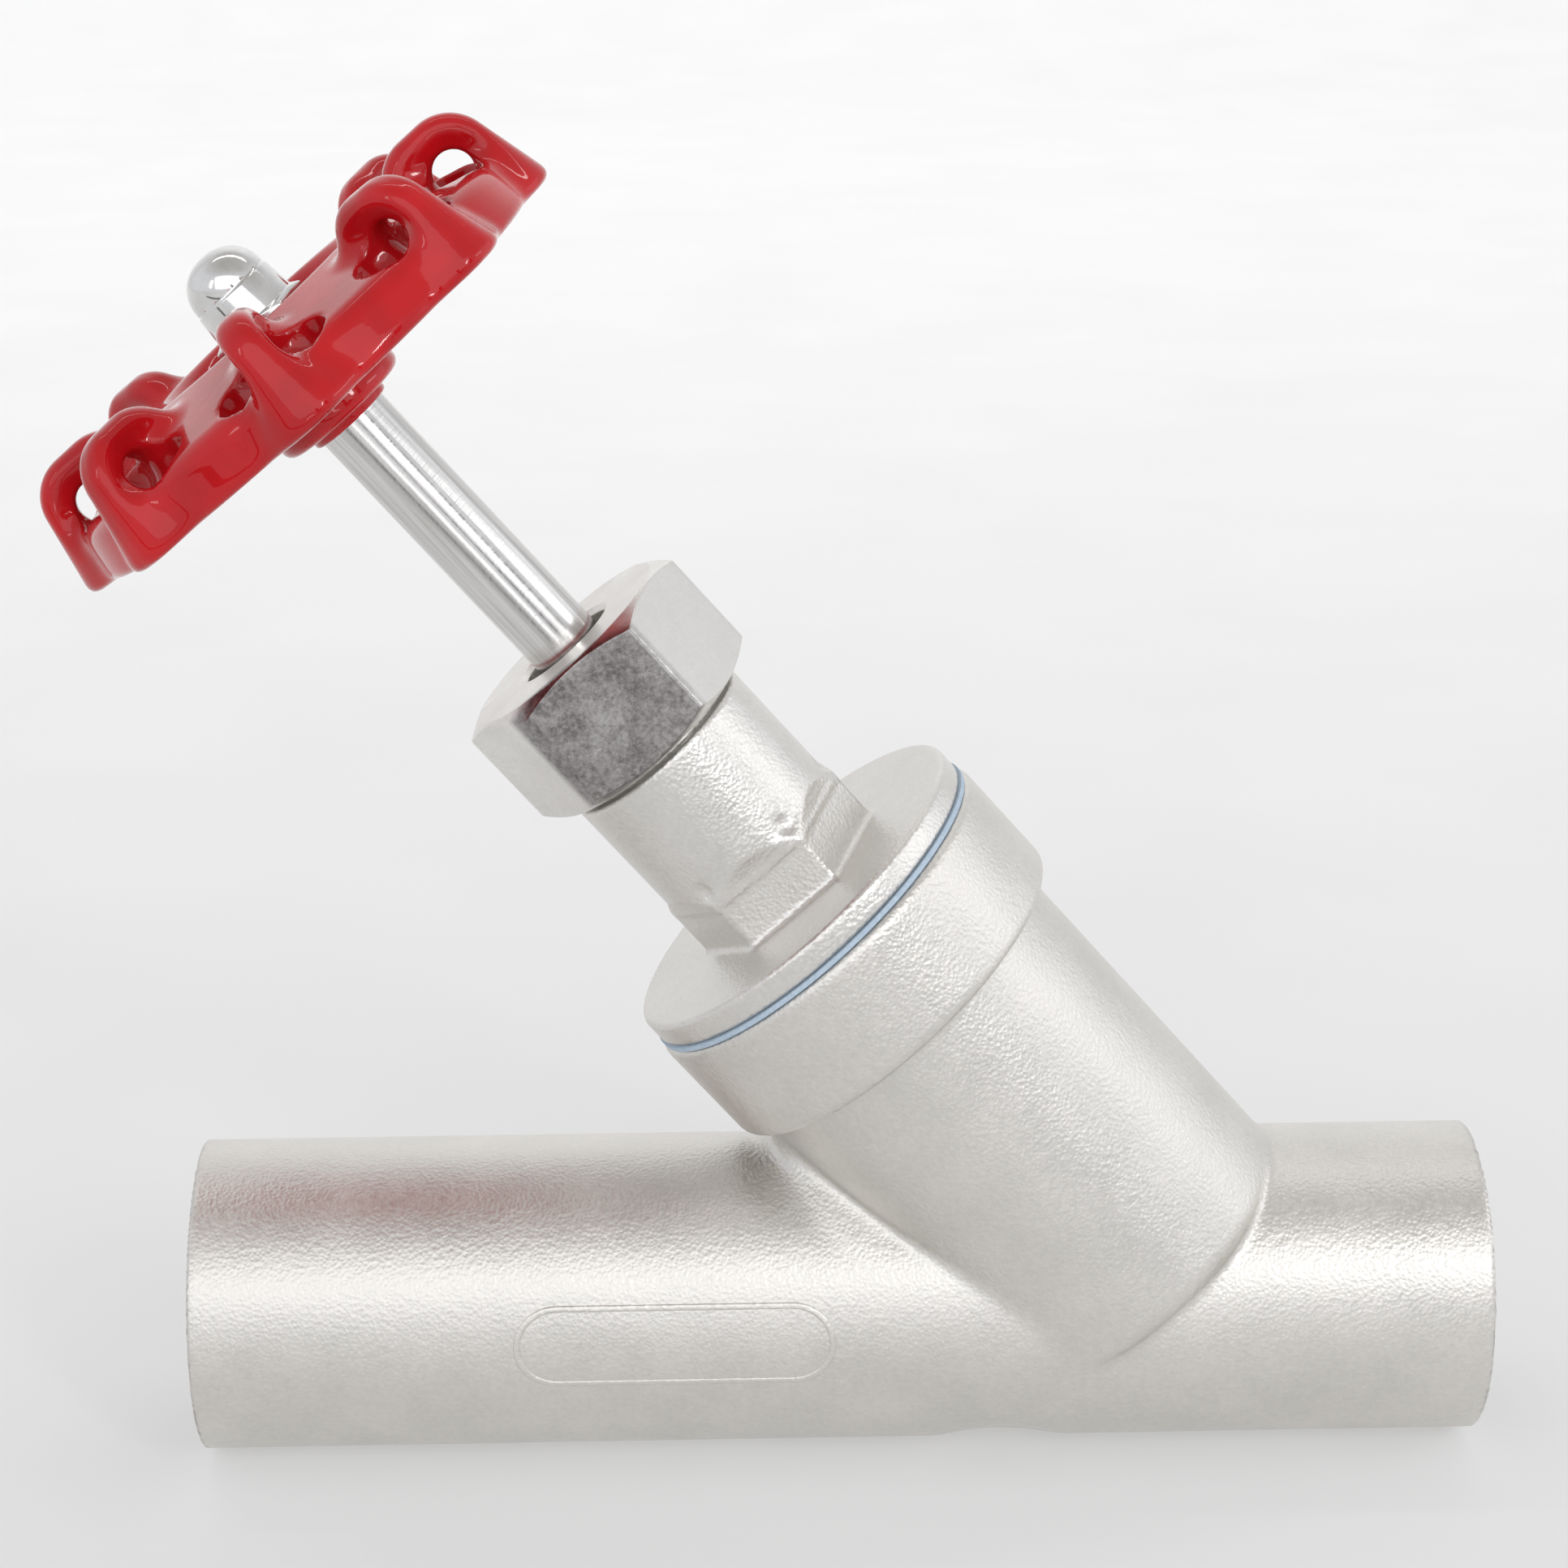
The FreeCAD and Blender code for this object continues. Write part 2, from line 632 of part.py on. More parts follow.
def make_packing_nut():
    body = new_body("packing_nut")
    flats = polygon(S["nut_flats"], 6, S["nut_turn"].value)
    prism(body, "Pad", "nut_blank", [flats], S["nut_bottom"], S["nut_top"])
    thread = S["neck_thread_radius"] + THREAD_GAP
    bore = [
        (0.0, S["nut_bottom"]),
        (thread, S["nut_bottom"]),
        (thread, S["nut_shoulder"]),
        (S["nut_hole_radius"], S["nut_shoulder"]),
        (S["nut_hole_radius"], S["nut_top"]),
        (0.0, S["nut_top"]),
    ]
    chamfers = hex_relief(S["nut_flats"], S["nut_bottom"], S["nut_top"])
    turn(body, "Groove", "nut_turned", [bore] + chamfers)
    put_on_stem_axis(body)


# ---------------------------------------------------------------- disc

def make_disc():
    body = new_body("disc_holder")
    outline = [
        (0.0, S["stud_bottom"]),
        (S["stud_radius"] - THREAD_GAP, S["stud_bottom"]),
        (S["stud_radius"] - THREAD_GAP, S["disc_bottom"]),
        (S["disc_radius"], S["disc_bottom"]),
        (S["disc_radius"], S["disc_plate_top"]),
        (S["disc_boss_radius"], S["disc_plate_top"]),
        (S["disc_boss_radius"], S["disc_top"]),
        (S["ring_thread_radius"], S["disc_top"]),
        (S["ring_thread_radius"], S["ring_seat"]),
        (S["disc_pocket_radius"], S["ring_seat"]),
        (S["disc_pocket_radius"], S["disc_pocket_bottom"]),
        (0.0, S["disc_pocket_bottom"]),
    ]
    turn(body, "Revolution", "disc_turned", [outline])
    put_on_stem_axis(body)
    ring("disc_retaining_ring", S["ring_hole_radius"], S["ring_thread_radius"] - THREAD_GAP,
         S["ring_seat"], S["disc_top"])
    ring("disc_seal", S["stud_radius"], S["seal_radius"], S["seal_bottom"], S["disc_bottom"])
    ring("seal_washer", S["stud_radius"], S["seal_washer_radius"],
         S["seal_washer_bottom"], S["seal_bottom"])


def make_seal_nut():
    body = new_body("seal_nut")
    flats = polygon(S["seal_nut_flats"], 6, 0.0)
    low, high = S["seal_nut_bottom"], S["seal_washer_bottom"]
    prism(body, "Pad", "seal_nut_blank", [flats], low, high)
    bore = [(0.0, low), (S["stud_radius"], low), (S["stud_radius"], high), (0.0, high)]
    turn(body, "Groove", "seal_nut_turned", [bore] + hex_relief(S["seal_nut_flats"], low, high))
    put_on_stem_axis(body)


# ---------------------------------------------------------------- spindle

def make_stem():
    body = new_body("stem")
    outline = [
        (0.0, S["stem_head_bottom"]),
        (S["stem_head_radius"], S["stem_head_bottom"]),
        (S["stem_head_radius"], S["stem_head_top"]),
        (S["stem_shank_radius"], S["stem_head_top"]),
        (S["stem_shank_radius"], S["stem_thread_bottom"]),
        (S["stem_thread_radius"], S["stem_thread_bottom"]),
        (S["stem_thread_radius"], S["stem_thread_top"]),
        (S["stem_radius"], S["stem_thread_top"]),
        (S["stem_radius"], S["hub_top"] - 0.4),
        (S["stem_tip_radius"], S["hub_top"] - 0.4),
        (S["stem_tip_radius"], S["stem_tip"]),
        (0.0, S["stem_tip"]),
    ]
    turn(body, "Revolution", "stem_turned", [outline])
    # Flats for the handwheel: everything outside the square is cut away.
    inner = polygon(S["stem_square"], 4, 45.0)
    outer = polygon(S["stem_square"] * 2.0, 4, 45.0)
    prism(body, "Pocket", "stem_flats", [outer, inner], S["hub_bottom"], S["hub_top"])
    put_on_stem_axis(body)


def wheel_section():
    """Half section of the wheel between its lobes, as (radius, station)."""
    rim_top = S["rim_bottom"] + S["rim_height"]
    crest_outer = S["crest_radius"] + S["crest_width"]
    return [
        (0.0, S["hub_bottom"]),
        (S["hub_radius"] - 0.8, S["hub_bottom"]),
        (S["hub_radius"], S["hub_bottom"] + 0.8),
        (S["hub_radius"], S["hub_top"] - S["web_thickness"]),
        (crest_outer, S["crest_top"] - S["web_thickness"]),
        (S["rim_radius"] - S["rim_wall"], rim_top - S["web_thickness"]),
        (S["rim_radius"] - S["rim_wall"], S["rim_bottom"]),
        (S["rim_radius"], S["rim_bottom"]),
        (S["rim_radius"] - 0.6, rim_top - 0.8),
        (S["rim_radius"] - 1.6, rim_top),
        (crest_outer, S["crest_top"]),
        (S["crest_radius"], S["crest_top"]),
        (S["recess_radius"], S["hub_top"] + 0.8),
        (S["recess_radius"], S["hub_top"]),
        (0.0, S["hub_top"]),
    ]


def lobe_section():
    """Radial outline of one lobe."""
    edge = S["lobe_radius"]
    top = S["lobe_top"]
    inner_edge = S["rim_radius"] - S["rim_wall"]
    return [
        (S["crest_radius"] + 1.5, S["crest_top"] - 1.5),
        (S["crest_radius"] + 2.6, S["crest_top"] + 0.6),
        (S["crest_radius"] + 5.0, top - 0.9),
        (S["crest_radius"] + 7.8, top),
        (edge - 5.2, top),
        (edge - 3.0, top - 2.0),
        (edge - 1.4, top - 4.8),
        (edge, S["rim_bottom"]),
        (inner_edge, S["rim_bottom"]),
        (inner_edge, S["rim_bottom"] + 2.0),
    ]


def lobe_plane(body, name):
    """A sketch through the stem axis and the middle of one lobe."""
    sketch = new_sketch(body, name, "XZ_Plane")
    turned = FreeCAD.Rotation(FreeCAD.Vector(0, 1, 0), S["lobe_turn"].value)
    sketch.AttachmentOffset = FreeCAD.Placement(FreeCAD.Vector(0, 0, 0), turned)
    bind(sketch, "AttachmentOffset.Rotation.Angle", S["lobe_turn"])
    return sketch


def make_handwheel():
    body = new_body("handwheel")
    turn(body, "Revolution", "wheel_blank", [wheel_section()])
    lobe_sketch = lobe_plane(body, "lobe_outline")
    draw_loop(lobe_sketch, lobe_section())
    lobe = body.newObject("PartDesign::Pad", "lobe")
    lobe.Profile = lobe_sketch
    lobe.SideType = "Symmetric"
    bind(lobe, "Length", S["lobe_width"])
    doc.recompute()
    lobes = eight_times(body, "lobes", lobe)
    eye_sketch = lobe_plane(body, "eye_outline")
    draw_circle(eye_sketch, S["lobe_hole_circle"], S["lobe_hole_station"],
                S["lobe_hole_radius"])
    eye = body.newObject("PartDesign::Pocket", "eye")
    eye.Profile = eye_sketch
    eye.SideType = "Symmetric"
    bind(eye, "Length", S["lobe_width"] + 1.0)
    doc.recompute()
    if eye.Shape.Volume >= lobes.Shape.Volume:
        raise ValueError("the eye cuts nothing")
    eight_times(body, "eyes", eye)
    square = polygon(S["stem_square"] + 2 * THREAD_GAP, 4, 45.0)
    prism(body, "Pocket", "wheel_square", [square], S["hub_bottom"] - 0.5, S["hub_top"] + 0.5)
    put_on_stem_axis(body)


def eight_times(body, name, feature):
    """Repeat a feature for every lobe of the wheel."""
    pattern = body.newObject("PartDesign::PolarPattern", name)
    pattern.Originals = [feature]
    pattern.Axis = (feature.Profile[0], ["V_Axis"])
    pattern.Angle = 2 * HALF_TURN
    pattern.Occurrences = LOBES
    body.Tip = pattern
    doc.recompute()
    return pattern


def make_cap_nut():
    body = new_body("cap_nut")
    low = S["hub_top"] + S["wheel_washer_thickness"] + S["spring_washer_thickness"]
    flats = polygon(S["cap_flats"], 6, 10.0)
    prism(body, "Pad", "cap_hexagon", [flats], low, S["cap_hex_top"])
    chamfers = hex_relief(S["cap_flats"], low, S["cap_hex_top"])
    turn(body, "Groove", "cap_chamfers", chamfers)
    foot = S["cap_hex_top"] - 1.0
    dome = [
        (0.0, foot),
        (S["cap_dome_radius"], foot),
        (S["cap_dome_radius"] - 0.15, S["cap_hex_top"]),
        (S["cap_dome_radius"] * 0.84, S["cap_tip"] - 3.2),
        (S["cap_dome_radius"] * 0.72, S["cap_tip"] - 1.7),
        (S["cap_dome_radius"] * 0.45, S["cap_tip"] - 0.5),
        (S["cap_dome_radius"] * 0.2, S["cap_tip"]),
        (0.0, S["cap_tip"]),
    ]
    turn(body, "Revolution", "cap_dome", [dome])
    hole = S["stem_tip_radius"] + THREAD_GAP
    depth = S["stem_tip"] + 0.6
    turn(body, "Groove", "cap_thread", [[(0.0, low), (hole, low), (hole, depth), (0.0, depth)]])
    put_on_stem_axis(body)


def make_wheel_washers():
    tip_hole = S["stem_tip_radius"] + SLIP_GAP
    washer_top = S["hub_top"] + S["wheel_washer_thickness"]
    spring_top = washer_top + S["spring_washer_thickness"]
    ring("wheel_washer", tip_hole, S["wheel_washer_radius"], S["hub_top"], washer_top)
    ring("wheel_spring_washer", tip_hole, S["spring_washer_radius"], washer_top, spring_top)


# ---------------------------------------------------------------- build and write

NODES = [
    "body", "bonnet_gasket", "bonnet", "packing_washer", "packing_bottom_adapter",
    "packing_ring_1", "packing_ring_2", "packing_ring_3", "packing_top_adapter",
    "gland_bush", "packing_nut", "stem", "disc_holder", "disc_retaining_ring",
    "disc_seal", "seal_washer", "seal_nut", "handwheel", "wheel_washer",
    "wheel_spring_washer", "cap_nut",
]


def build():
    make_valve_body()
    ring("bonnet_gasket", S["collar_thread_radius"] + SLIP_GAP, S["gasket_radius"],
         S["collar_top"], S["collar_top"] + S["gasket_thickness"])
    make_bonnet()
    make_packing()
    make_gland()
    make_packing_nut()
    make_disc()
    make_seal_nut()
    make_stem()
    make_handwheel()
    make_wheel_washers()
    make_cap_nut()
    doc.recompute()


def check_document():
    for item in doc.Objects:
        if "Invalid" in item.State or "Error" in item.State:
            raise ValueError(item.Name + " failed: " + str(item.State))


def labelled(name):
    found = doc.getObjectsByLabel(name)
    if len(found) != 1:
        raise ValueError("no single object is labelled " + name)
    return found[0]


def write_steps():
    os.makedirs("parts", exist_ok=True)
    for name in NODES:
        shape = labelled(name).Shape
        if shape.isNull() or not shape.isValid():
            raise ValueError(name + " has no valid shape")
        shape.exportStep("parts/" + name + ".step")
        print(name, "solids", len(shape.Solids), "volume", round(shape.Volume, 1))


build()
check_document()
write_steps()
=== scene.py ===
import json
import math

import bmesh
import bpy
import numpy as np
from mathutils import Matrix, Vector


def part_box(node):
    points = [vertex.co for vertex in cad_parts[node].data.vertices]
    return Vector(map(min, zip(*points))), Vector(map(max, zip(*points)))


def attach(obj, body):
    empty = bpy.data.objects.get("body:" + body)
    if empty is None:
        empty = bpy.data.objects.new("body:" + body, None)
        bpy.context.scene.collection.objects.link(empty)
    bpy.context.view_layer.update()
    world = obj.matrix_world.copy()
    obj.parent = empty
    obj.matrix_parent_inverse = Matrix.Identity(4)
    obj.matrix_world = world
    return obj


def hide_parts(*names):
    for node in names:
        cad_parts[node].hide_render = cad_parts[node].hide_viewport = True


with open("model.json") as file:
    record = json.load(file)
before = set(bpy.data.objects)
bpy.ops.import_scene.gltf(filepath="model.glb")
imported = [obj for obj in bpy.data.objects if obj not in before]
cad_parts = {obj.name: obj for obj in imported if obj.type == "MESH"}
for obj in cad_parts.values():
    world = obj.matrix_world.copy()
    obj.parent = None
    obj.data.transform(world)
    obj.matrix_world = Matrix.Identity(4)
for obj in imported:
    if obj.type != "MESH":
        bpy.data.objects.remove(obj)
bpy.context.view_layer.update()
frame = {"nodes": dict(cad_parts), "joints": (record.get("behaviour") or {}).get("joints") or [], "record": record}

# Lengths in this script are millimetres in the stem's or the pipe's own frame. to_row turns
# them into the metres of the row frame.
MM = 0.001

# ------------------------------------------------------------------ the frame's main sizes

JOINT = next(j for j in frame["joints"] if j["name"] == "handwheel_turn")
STEM = Vector(JOINT["axis"]).normalized()
ON_STEM = Vector(JOINT["pos_m"])
CROSSING = ON_STEM - STEM * (ON_STEM.z / STEM.z)
ACROSS = Vector((STEM.z, 0.0, -STEM.x))
SIDE = Vector((0.0, 1.0, 0.0))


def to_row(points):
    """Points (u, v, station) of the stem's frame in mm, as row-frame metres."""
    basis = np.array([ACROSS, SIDE, STEM])
    return np.asarray(points) @ basis * MM + np.array(CROSSING)


def span(node):
    """(lowest station, highest station, largest radius) of a CAD node about the stem, in mm."""
    mesh = frame["nodes"][node].data
    co = np.empty(len(mesh.vertices) * 3)
    mesh.vertices.foreach_get("co", co)
    away = (co.reshape(-1, 3) - np.array(CROSSING)) / MM
    station = away @ np.array(STEM)
    radius = np.linalg.norm(away - np.outer(station, np.array(STEM)), axis=1)
    return station.min(), station.max(), radius.max()


BODY_LOW, BODY_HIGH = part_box("body")
PIPE_LENGTH = BODY_HIGH.x / MM
PIPE_RADIUS = -BODY_LOW.z / MM
COLLAR_TOP, FLANGE_LOW, _ = span("bonnet_gasket")
BONNET_LOW, BONNET_TOP, FLANGE_RADIUS = span("bonnet")
NUT_LOW, NUT_TOP, NUT_CORNER = span("packing_nut")
NUT_FLATS = NUT_CORNER * math.sqrt(3.0)
STEM_TIP = span("stem")[1]
WHEEL_LOW, WHEEL_TOP, WHEEL_RADIUS = span("handwheel")
CAP_LOW, CAP_TIP, _ = span("cap_nut")

# ------------------------------------------------------------------ shapes as distance fields


def blend_join(a, b, width):
    """Union of two distance fields with a fillet of about that width."""
    mix = np.clip(0.5 + 0.5 * (b - a) / width, 0.0, 1.0)
    return b + (a - b) * mix - width * mix * (1.0 - mix)


def blend_cut(a, b, width):
    """The field a with b taken out of it, the edge rounded to about that width."""
    return -blend_join(-a, b, width)


def blend_meet(a, b, width):
    """Intersection of two distance fields with its edge rounded to about that width."""
    return -blend_join(-a, -b, width)


def extrude(outline, along, half, edge):
    """A flat shape's field made thick by half each way, with rounded edges."""
    flat = outline + edge
    thick = np.abs(along) - half + edge
    inner = np.minimum(np.maximum(flat, thick), 0.0)
    return inner + np.hypot(np.maximum(flat, 0.0), np.maximum(thick, 0.0)) - edge


def drum(radius_here, along, radius, low, high, edge):
    """A cylinder between two stations, with rounded edges."""
    return extrude(radius_here - radius, along - (low + high) / 2, (high - low) / 2, edge)


def bar(x, y, start, end, half):
    """Flat bar with round ends between two points."""
    run_x, run_y = end[0] - start[0], end[1] - start[1]
    share = ((x - start[0]) * run_x + (y - start[1]) * run_y) / (run_x ** 2 + run_y ** 2)
    share = np.clip(share, 0.0, 1.0)
    return np.hypot(x - start[0] - share * run_x, y - start[1] - share * run_y) - half


def surface_points(corners, axes):
    """One point in each grid cell that the surface passes through, and the cells' numbers."""
    inside = corners < 0
    count = np.zeros([n - 1 for n in corners.shape], np.int8)
    slices = (slice(0, -1), slice(1, None))
    for i in (0, 1):
        for j in (0, 1):
            for k in (0, 1):
                count += inside[slices[i], slices[j], slices[k]]
    mixed = (count > 0) & (count < 8)
    number = np.full(count.shape, -1, np.int64)
    number[mixed] = np.arange(mixed.sum())
    cells = np.argwhere(mixed)
    total = np.zeros((len(cells), 3))
    hits = np.zeros(len(cells))
    for a in range(3):
        b, c = (a + 1) % 3, (a + 2) % 3
        for i in (0, 1):
            for j in (0, 1):
                near = cells.copy()
                near[:, b] += i
                near[:, c] += j
                far = near.copy()
                far[:, a] += 1
                value_near = corners[tuple(near.T)]
                value_far = corners[tuple(far.T)]
                cut = (value_near < 0) != (value_far < 0)
                share = np.where(cut, value_near / np.where(cut, value_near - value_far, 1), 0)
                point = near.astype(float)
                point[:, a] += share
                total[cut] += point[cut]
                hits[cut] += 1
    place = total / hits[:, None]
    origin = np.array([axis[0] for axis in axes])
    step = np.array([axis[1] - axis[0] for axis in axes])
    return origin + place * step, number


def mesh_of_field(field, low, high, step):
    """Points and quads of the surface where field(x, y, z) is zero, by surface nets."""
    axes = [np.arange(a - 1.5 * step, b + 2.5 * step, step) for a, b in zip(low, high)]
    grids = np.meshgrid(*axes, indexing="ij", sparse=True)
    corners = field(*grids)
    points, number = surface_points(corners, axes)
    inside = corners < 0
    quads = []
    for a in range(3):
        b, c = (a + 1) % 3, (a + 2) % 3
        lower = np.moveaxis(inside, a, 0)[:-1]
        upper = np.moveaxis(inside, a, 0)[1:]
        where = np.argwhere(np.moveaxis(lower != upper, 0, a))
        leaves = inside[tuple(where.T)]
        ring = []
        for i, j in ((-1, -1), (0, -1), (0, 0), (-1, 0)):
            cell = where.copy()
            cell[:, b] += i
            cell[:, c] += j
            ring.append(number[tuple(cell.T)])
        ring = np.stack(ring, axis=1)
        ring[~leaves] = ring[~leaves][:, ::-1]
        quads.append(ring)
    return settle(field, points, step), np.concatenate(quads)


SETTLE_ROUNDS = 3
SLOPE_REACH = 0.1
LEAST_SLOPE = 0.2
LONGEST_MOVE = 0.5


def settle(field, points, step):
    """Moves points the last bit of the way on to the field's zero surface."""
    reach = step * SLOPE_REACH
    for _ in range(SETTLE_ROUNDS):
        here = field(*points.T)
        slope = np.empty_like(points)
        for a in range(3):
            shift = np.zeros(3)
            shift[a] = reach
            slope[:, a] = (field(*(points + shift).T) - field(*(points - shift).T)) / (2 * reach)
        size = np.maximum((slope ** 2).sum(axis=1), LEAST_SLOPE)
        move = slope * (here / size)[:, None]
        length = np.linalg.norm(move, axis=1, keepdims=True)
        points = points - move * np.minimum(1.0, LONGEST_MOVE * step / np.maximum(length, 1e-9))
    return points


def closed_quads(rings, row):
    """Quads between rings of row points each, closed both ways."""
    quads = []
    for i in range(rings):
        j = (i + 1) % rings
        for k in range(row):
            m = (k + 1) % row
            quads.append((i * row + k, j * row + k, j * row + m, i * row + m))
    return quads


def make_piece(name, points, faces, material, body, stands_for=()):
    """A smooth-shaded mesh object that rides on a body. The points are row-frame metres."""
    mesh = bpy.data.meshes.new(name)
    mesh.from_pydata([tuple(p) for p in points], [], [tuple(f) for f in faces])
    mesh.validate()
    mesh.polygons.foreach_set("use_smooth", [True] * len(mesh.polygons))
    mesh.materials.append(material)
    piece = bpy.data.objects.new(name, mesh)
    bpy.context.scene.collection.objects.link(piece)
    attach(piece, body)
    if stands_for:
        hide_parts(*stands_for)
    return piece


# ------------------------------------------------------------------ materials


def set_stops(ramp_node, stops):
    """Gives a colour ramp node its (position, colour) stops."""
    elements = ramp_node.color_ramp.elements
    while len(elements) < len(stops):
        elements.new(0.5)
    for element, (position, colour) in zip(elements, stops):
        element.position = position
        element.color = (*colour, 1.0)


class Nodes:
    """Short calls for wiring one material."""

    def __init__(self, name):
        self.material = bpy.data.materials.new(name)
        self.material.use_nodes = True
        self.tree = self.material.node_tree
        self.shader = self.tree.nodes["Principled BSDF"]

    def add(self, kind, **settings):
        node = self.tree.nodes.new(kind)
        for key, value in settings.items():
            setattr(node, key, value)
        return node

    def link(self, start, end):
        self.tree.links.new(start, end)

    def set(self, socket, value):
        self.shader.inputs[socket].default_value = value

    def place(self, scale=(1.0, 1.0, 1.0), turn=(0.0, 0.0, 0.0)):
        """Object coordinates in millimetres along turned axes, each then scaled."""
        coordinates = self.add("ShaderNodeTexCoord")
        mapping = self.add("ShaderNodeMapping", vector_type="TEXTURE")
        mapping.inputs["Scale"].default_value = [MM / s for s in scale]
        mapping.inputs["Rotation"].default_value = turn
        self.link(coordinates.outputs["Object"], mapping.inputs["Vector"])
        return mapping.outputs["Vector"]

    def noise(self, vector, scale, detail=3.0, roughness=0.55):
        """Noise of about scale cells per millimetre."""
        node = self.add("ShaderNodeTexNoise")
        node.inputs["Scale"].default_value = scale
        node.inputs["Detail"].default_value = detail
        node.inputs["Roughness"].default_value = roughness
        self.link(vector, node.inputs["Vector"])
        return node.outputs["Fac"]

    def grains(self, vector, scale):
        """Grains of about scale per millimetre, as distance from each grain's middle."""
        node = self.add("ShaderNodeTexVoronoi", feature="F1")
        node.inputs["Scale"].default_value = scale
        self.link(vector, node.inputs["Vector"])
        return node.outputs["Distance"]

    def ramp(self, value, stops):
        """Colour ramp through (position, colour) stops."""
        node = self.add("ShaderNodeValToRGB")
        set_stops(node, stops)
        self.link(value, node.inputs["Fac"])
        return node.outputs["Color"]

    def span(self, value, low, high, from_low=0.3, from_high=0.7):
        """The value's middle part stretched to run from low to high."""
        node = self.add("ShaderNodeMapRange")
        node.inputs["From Min"].default_value = from_low
        node.inputs["From Max"].default_value = from_high
        node.inputs["To Min"].default_value = low
        node.inputs["To Max"].default_value = high
        self.link(value, node.inputs["Value"])
        return node.outputs["Result"]

    def maths(self, operation, first, second):
        node = self.add("ShaderNodeMath", operation=operation)
        for socket, value in zip(node.inputs, (first, second)):
            if isinstance(value, (int, float)):
                socket.default_value = value
            else:
                self.link(value, socket)
        return node.outputs["Value"]

    def halves(self, first, second):
        """Half of each value."""
        return self.maths("ADD", self.maths("MULTIPLY", first, 0.5),
                          self.maths("MULTIPLY", second, 0.5))

    def bump(self, height, depth, strength=1.0, base=None):
        """Bump of about depth millimetres for a height from 0 to 1."""
        node = self.add("ShaderNodeBump")
        node.inputs["Strength"].default_value = strength
        node.inputs["Distance"].default_value = depth * MM
        self.link(height, node.inputs["Height"])
        if base is not None:
            self.link(base, node.inputs["Normal"])
        return node.outputs["Normal"]

    def to(self, socket, output):
        self.link(output, self.shader.inputs[socket])


def stem_turn():
    """Rotation that lays a mapping's Z along the stem."""
    return (0.0, math.atan2(STEM.x, STEM.z), 0.0)


def cast_steel(name, light, dark, rough):
    """Blasted investment casting: warm grey, orange-peel skin and fine glints."""
    n = Nodes(name)
    at = n.place()
    skin = n.noise(at, 1.5, 4.0, 0.6)
    grit = n.grains(at, 2.3)
    patches = n.noise(at, 0.11, 3.0, 0.6)
    n.to("Base Color", n.ramp(n.halves(patches, skin), [(0.36, dark), (0.62, light)]))
    n.to("Roughness", n.maths("ADD", n.span(patches, rough - 0.02, rough + 0.03),
                              n.span(skin, -0.04, 0.04)))
    n.set("Metallic", 1.0)
    coarse = n.bump(skin, 0.06, 0.8)
    n.to("Normal", n.bump(grit, 0.06, 0.75, coarse))
    return n.material


def turned_steel(name, light, dark, rough, lines):
    """Turned stainless steel with fine rings round the stem."""
    n = Nodes(name)
    rings = n.place(scale=(0.06, 0.06, 1.0), turn=stem_turn())
    spots = n.noise(n.place(), 0.35, 4.0, 0.6)
    cut = n.noise(rings, lines, 2.0, 0.5)
    n.to("Base Color", n.ramp(spots, [(0.35, dark), (0.65, light)]))
    n.to("Roughness", n.span(cut, rough - 0.05, rough + 0.07))
    n.set("Metallic", 1.0)
    n.to("Normal", n.bump(cut, 0.02, 0.55))
    return n.material


# The colour sockets of a mix node, which share their names with its number sockets.
COLOUR_A, COLOUR_B, COLOUR_RESULT = 6, 7, 2
# How far out on the front the nut's painted shade starts and is full, as shares of the nut's flats.
PAINTED_SHADE_START, PAINTED_SHADE_FULL = 0.42, 0.47


def milled_steel(name):
    """Packing nut: bright flats with scratches and pits, the front flat darkened by painted shade in a mottled
    grey.
    """
    n = Nodes(name)
    at = n.place()
    mottle = n.noise(at, 0.16, 5.0, 0.65)
    speck = n.noise(at, 1.9, 5.0, 0.75)
    scratch_a = n.noise(n.place(scale=(1.0, 1.0, 0.05), turn=(0.0, 0.9, 0.2)), 3.2, 2.0, 0.5)
    scratch_b = n.noise(n.place(scale=(0.06, 1.0, 1.0), turn=(0.1, 0.5, 0.0)), 2.6, 2.0, 0.5)
    mixed = n.halves(mottle, speck)
    # Painted shade: only the flat that faces the front is darkened, in a mottled grey.
    apart = n.add("ShaderNodeSeparateXYZ")
    n.link(at, apart.inputs["Vector"])
    front = n.span(apart.outputs["Y"], 1.0, 0.0, -NUT_FLATS * PAINTED_SHADE_FULL, -NUT_FLATS * PAINTED_SHADE_START)
    unshaded_tone = n.ramp(mixed, [(0.36, (0.72, 0.705, 0.675)), (0.62, (0.80, 0.785, 0.755))])
    shaded_front_tone = n.ramp(mixed, [(0.40, (0.15, 0.138, 0.136)), (0.60, (0.41, 0.395, 0.387))])
    tone = n.add("ShaderNodeMix", data_type="RGBA")
    n.link(front, tone.inputs["Factor"])
    n.link(unshaded_tone, tone.inputs[COLOUR_A])
    n.link(shaded_front_tone, tone.inputs[COLOUR_B])
    n.to("Base Color", tone.outputs[COLOUR_RESULT])
    n.to("Roughness", n.maths("ADD", n.span(mixed, 0.38, 0.26), n.span(scratch_a, -0.04, 0.06)))
    n.set("Metallic", 1.0)
    first = n.bump(scratch_a, 0.012, 0.6)
    second = n.bump(scratch_b, 0.010, 0.5, first)
    n.to("Normal", n.bump(speck, 0.012, 0.5, second))
    return n.material


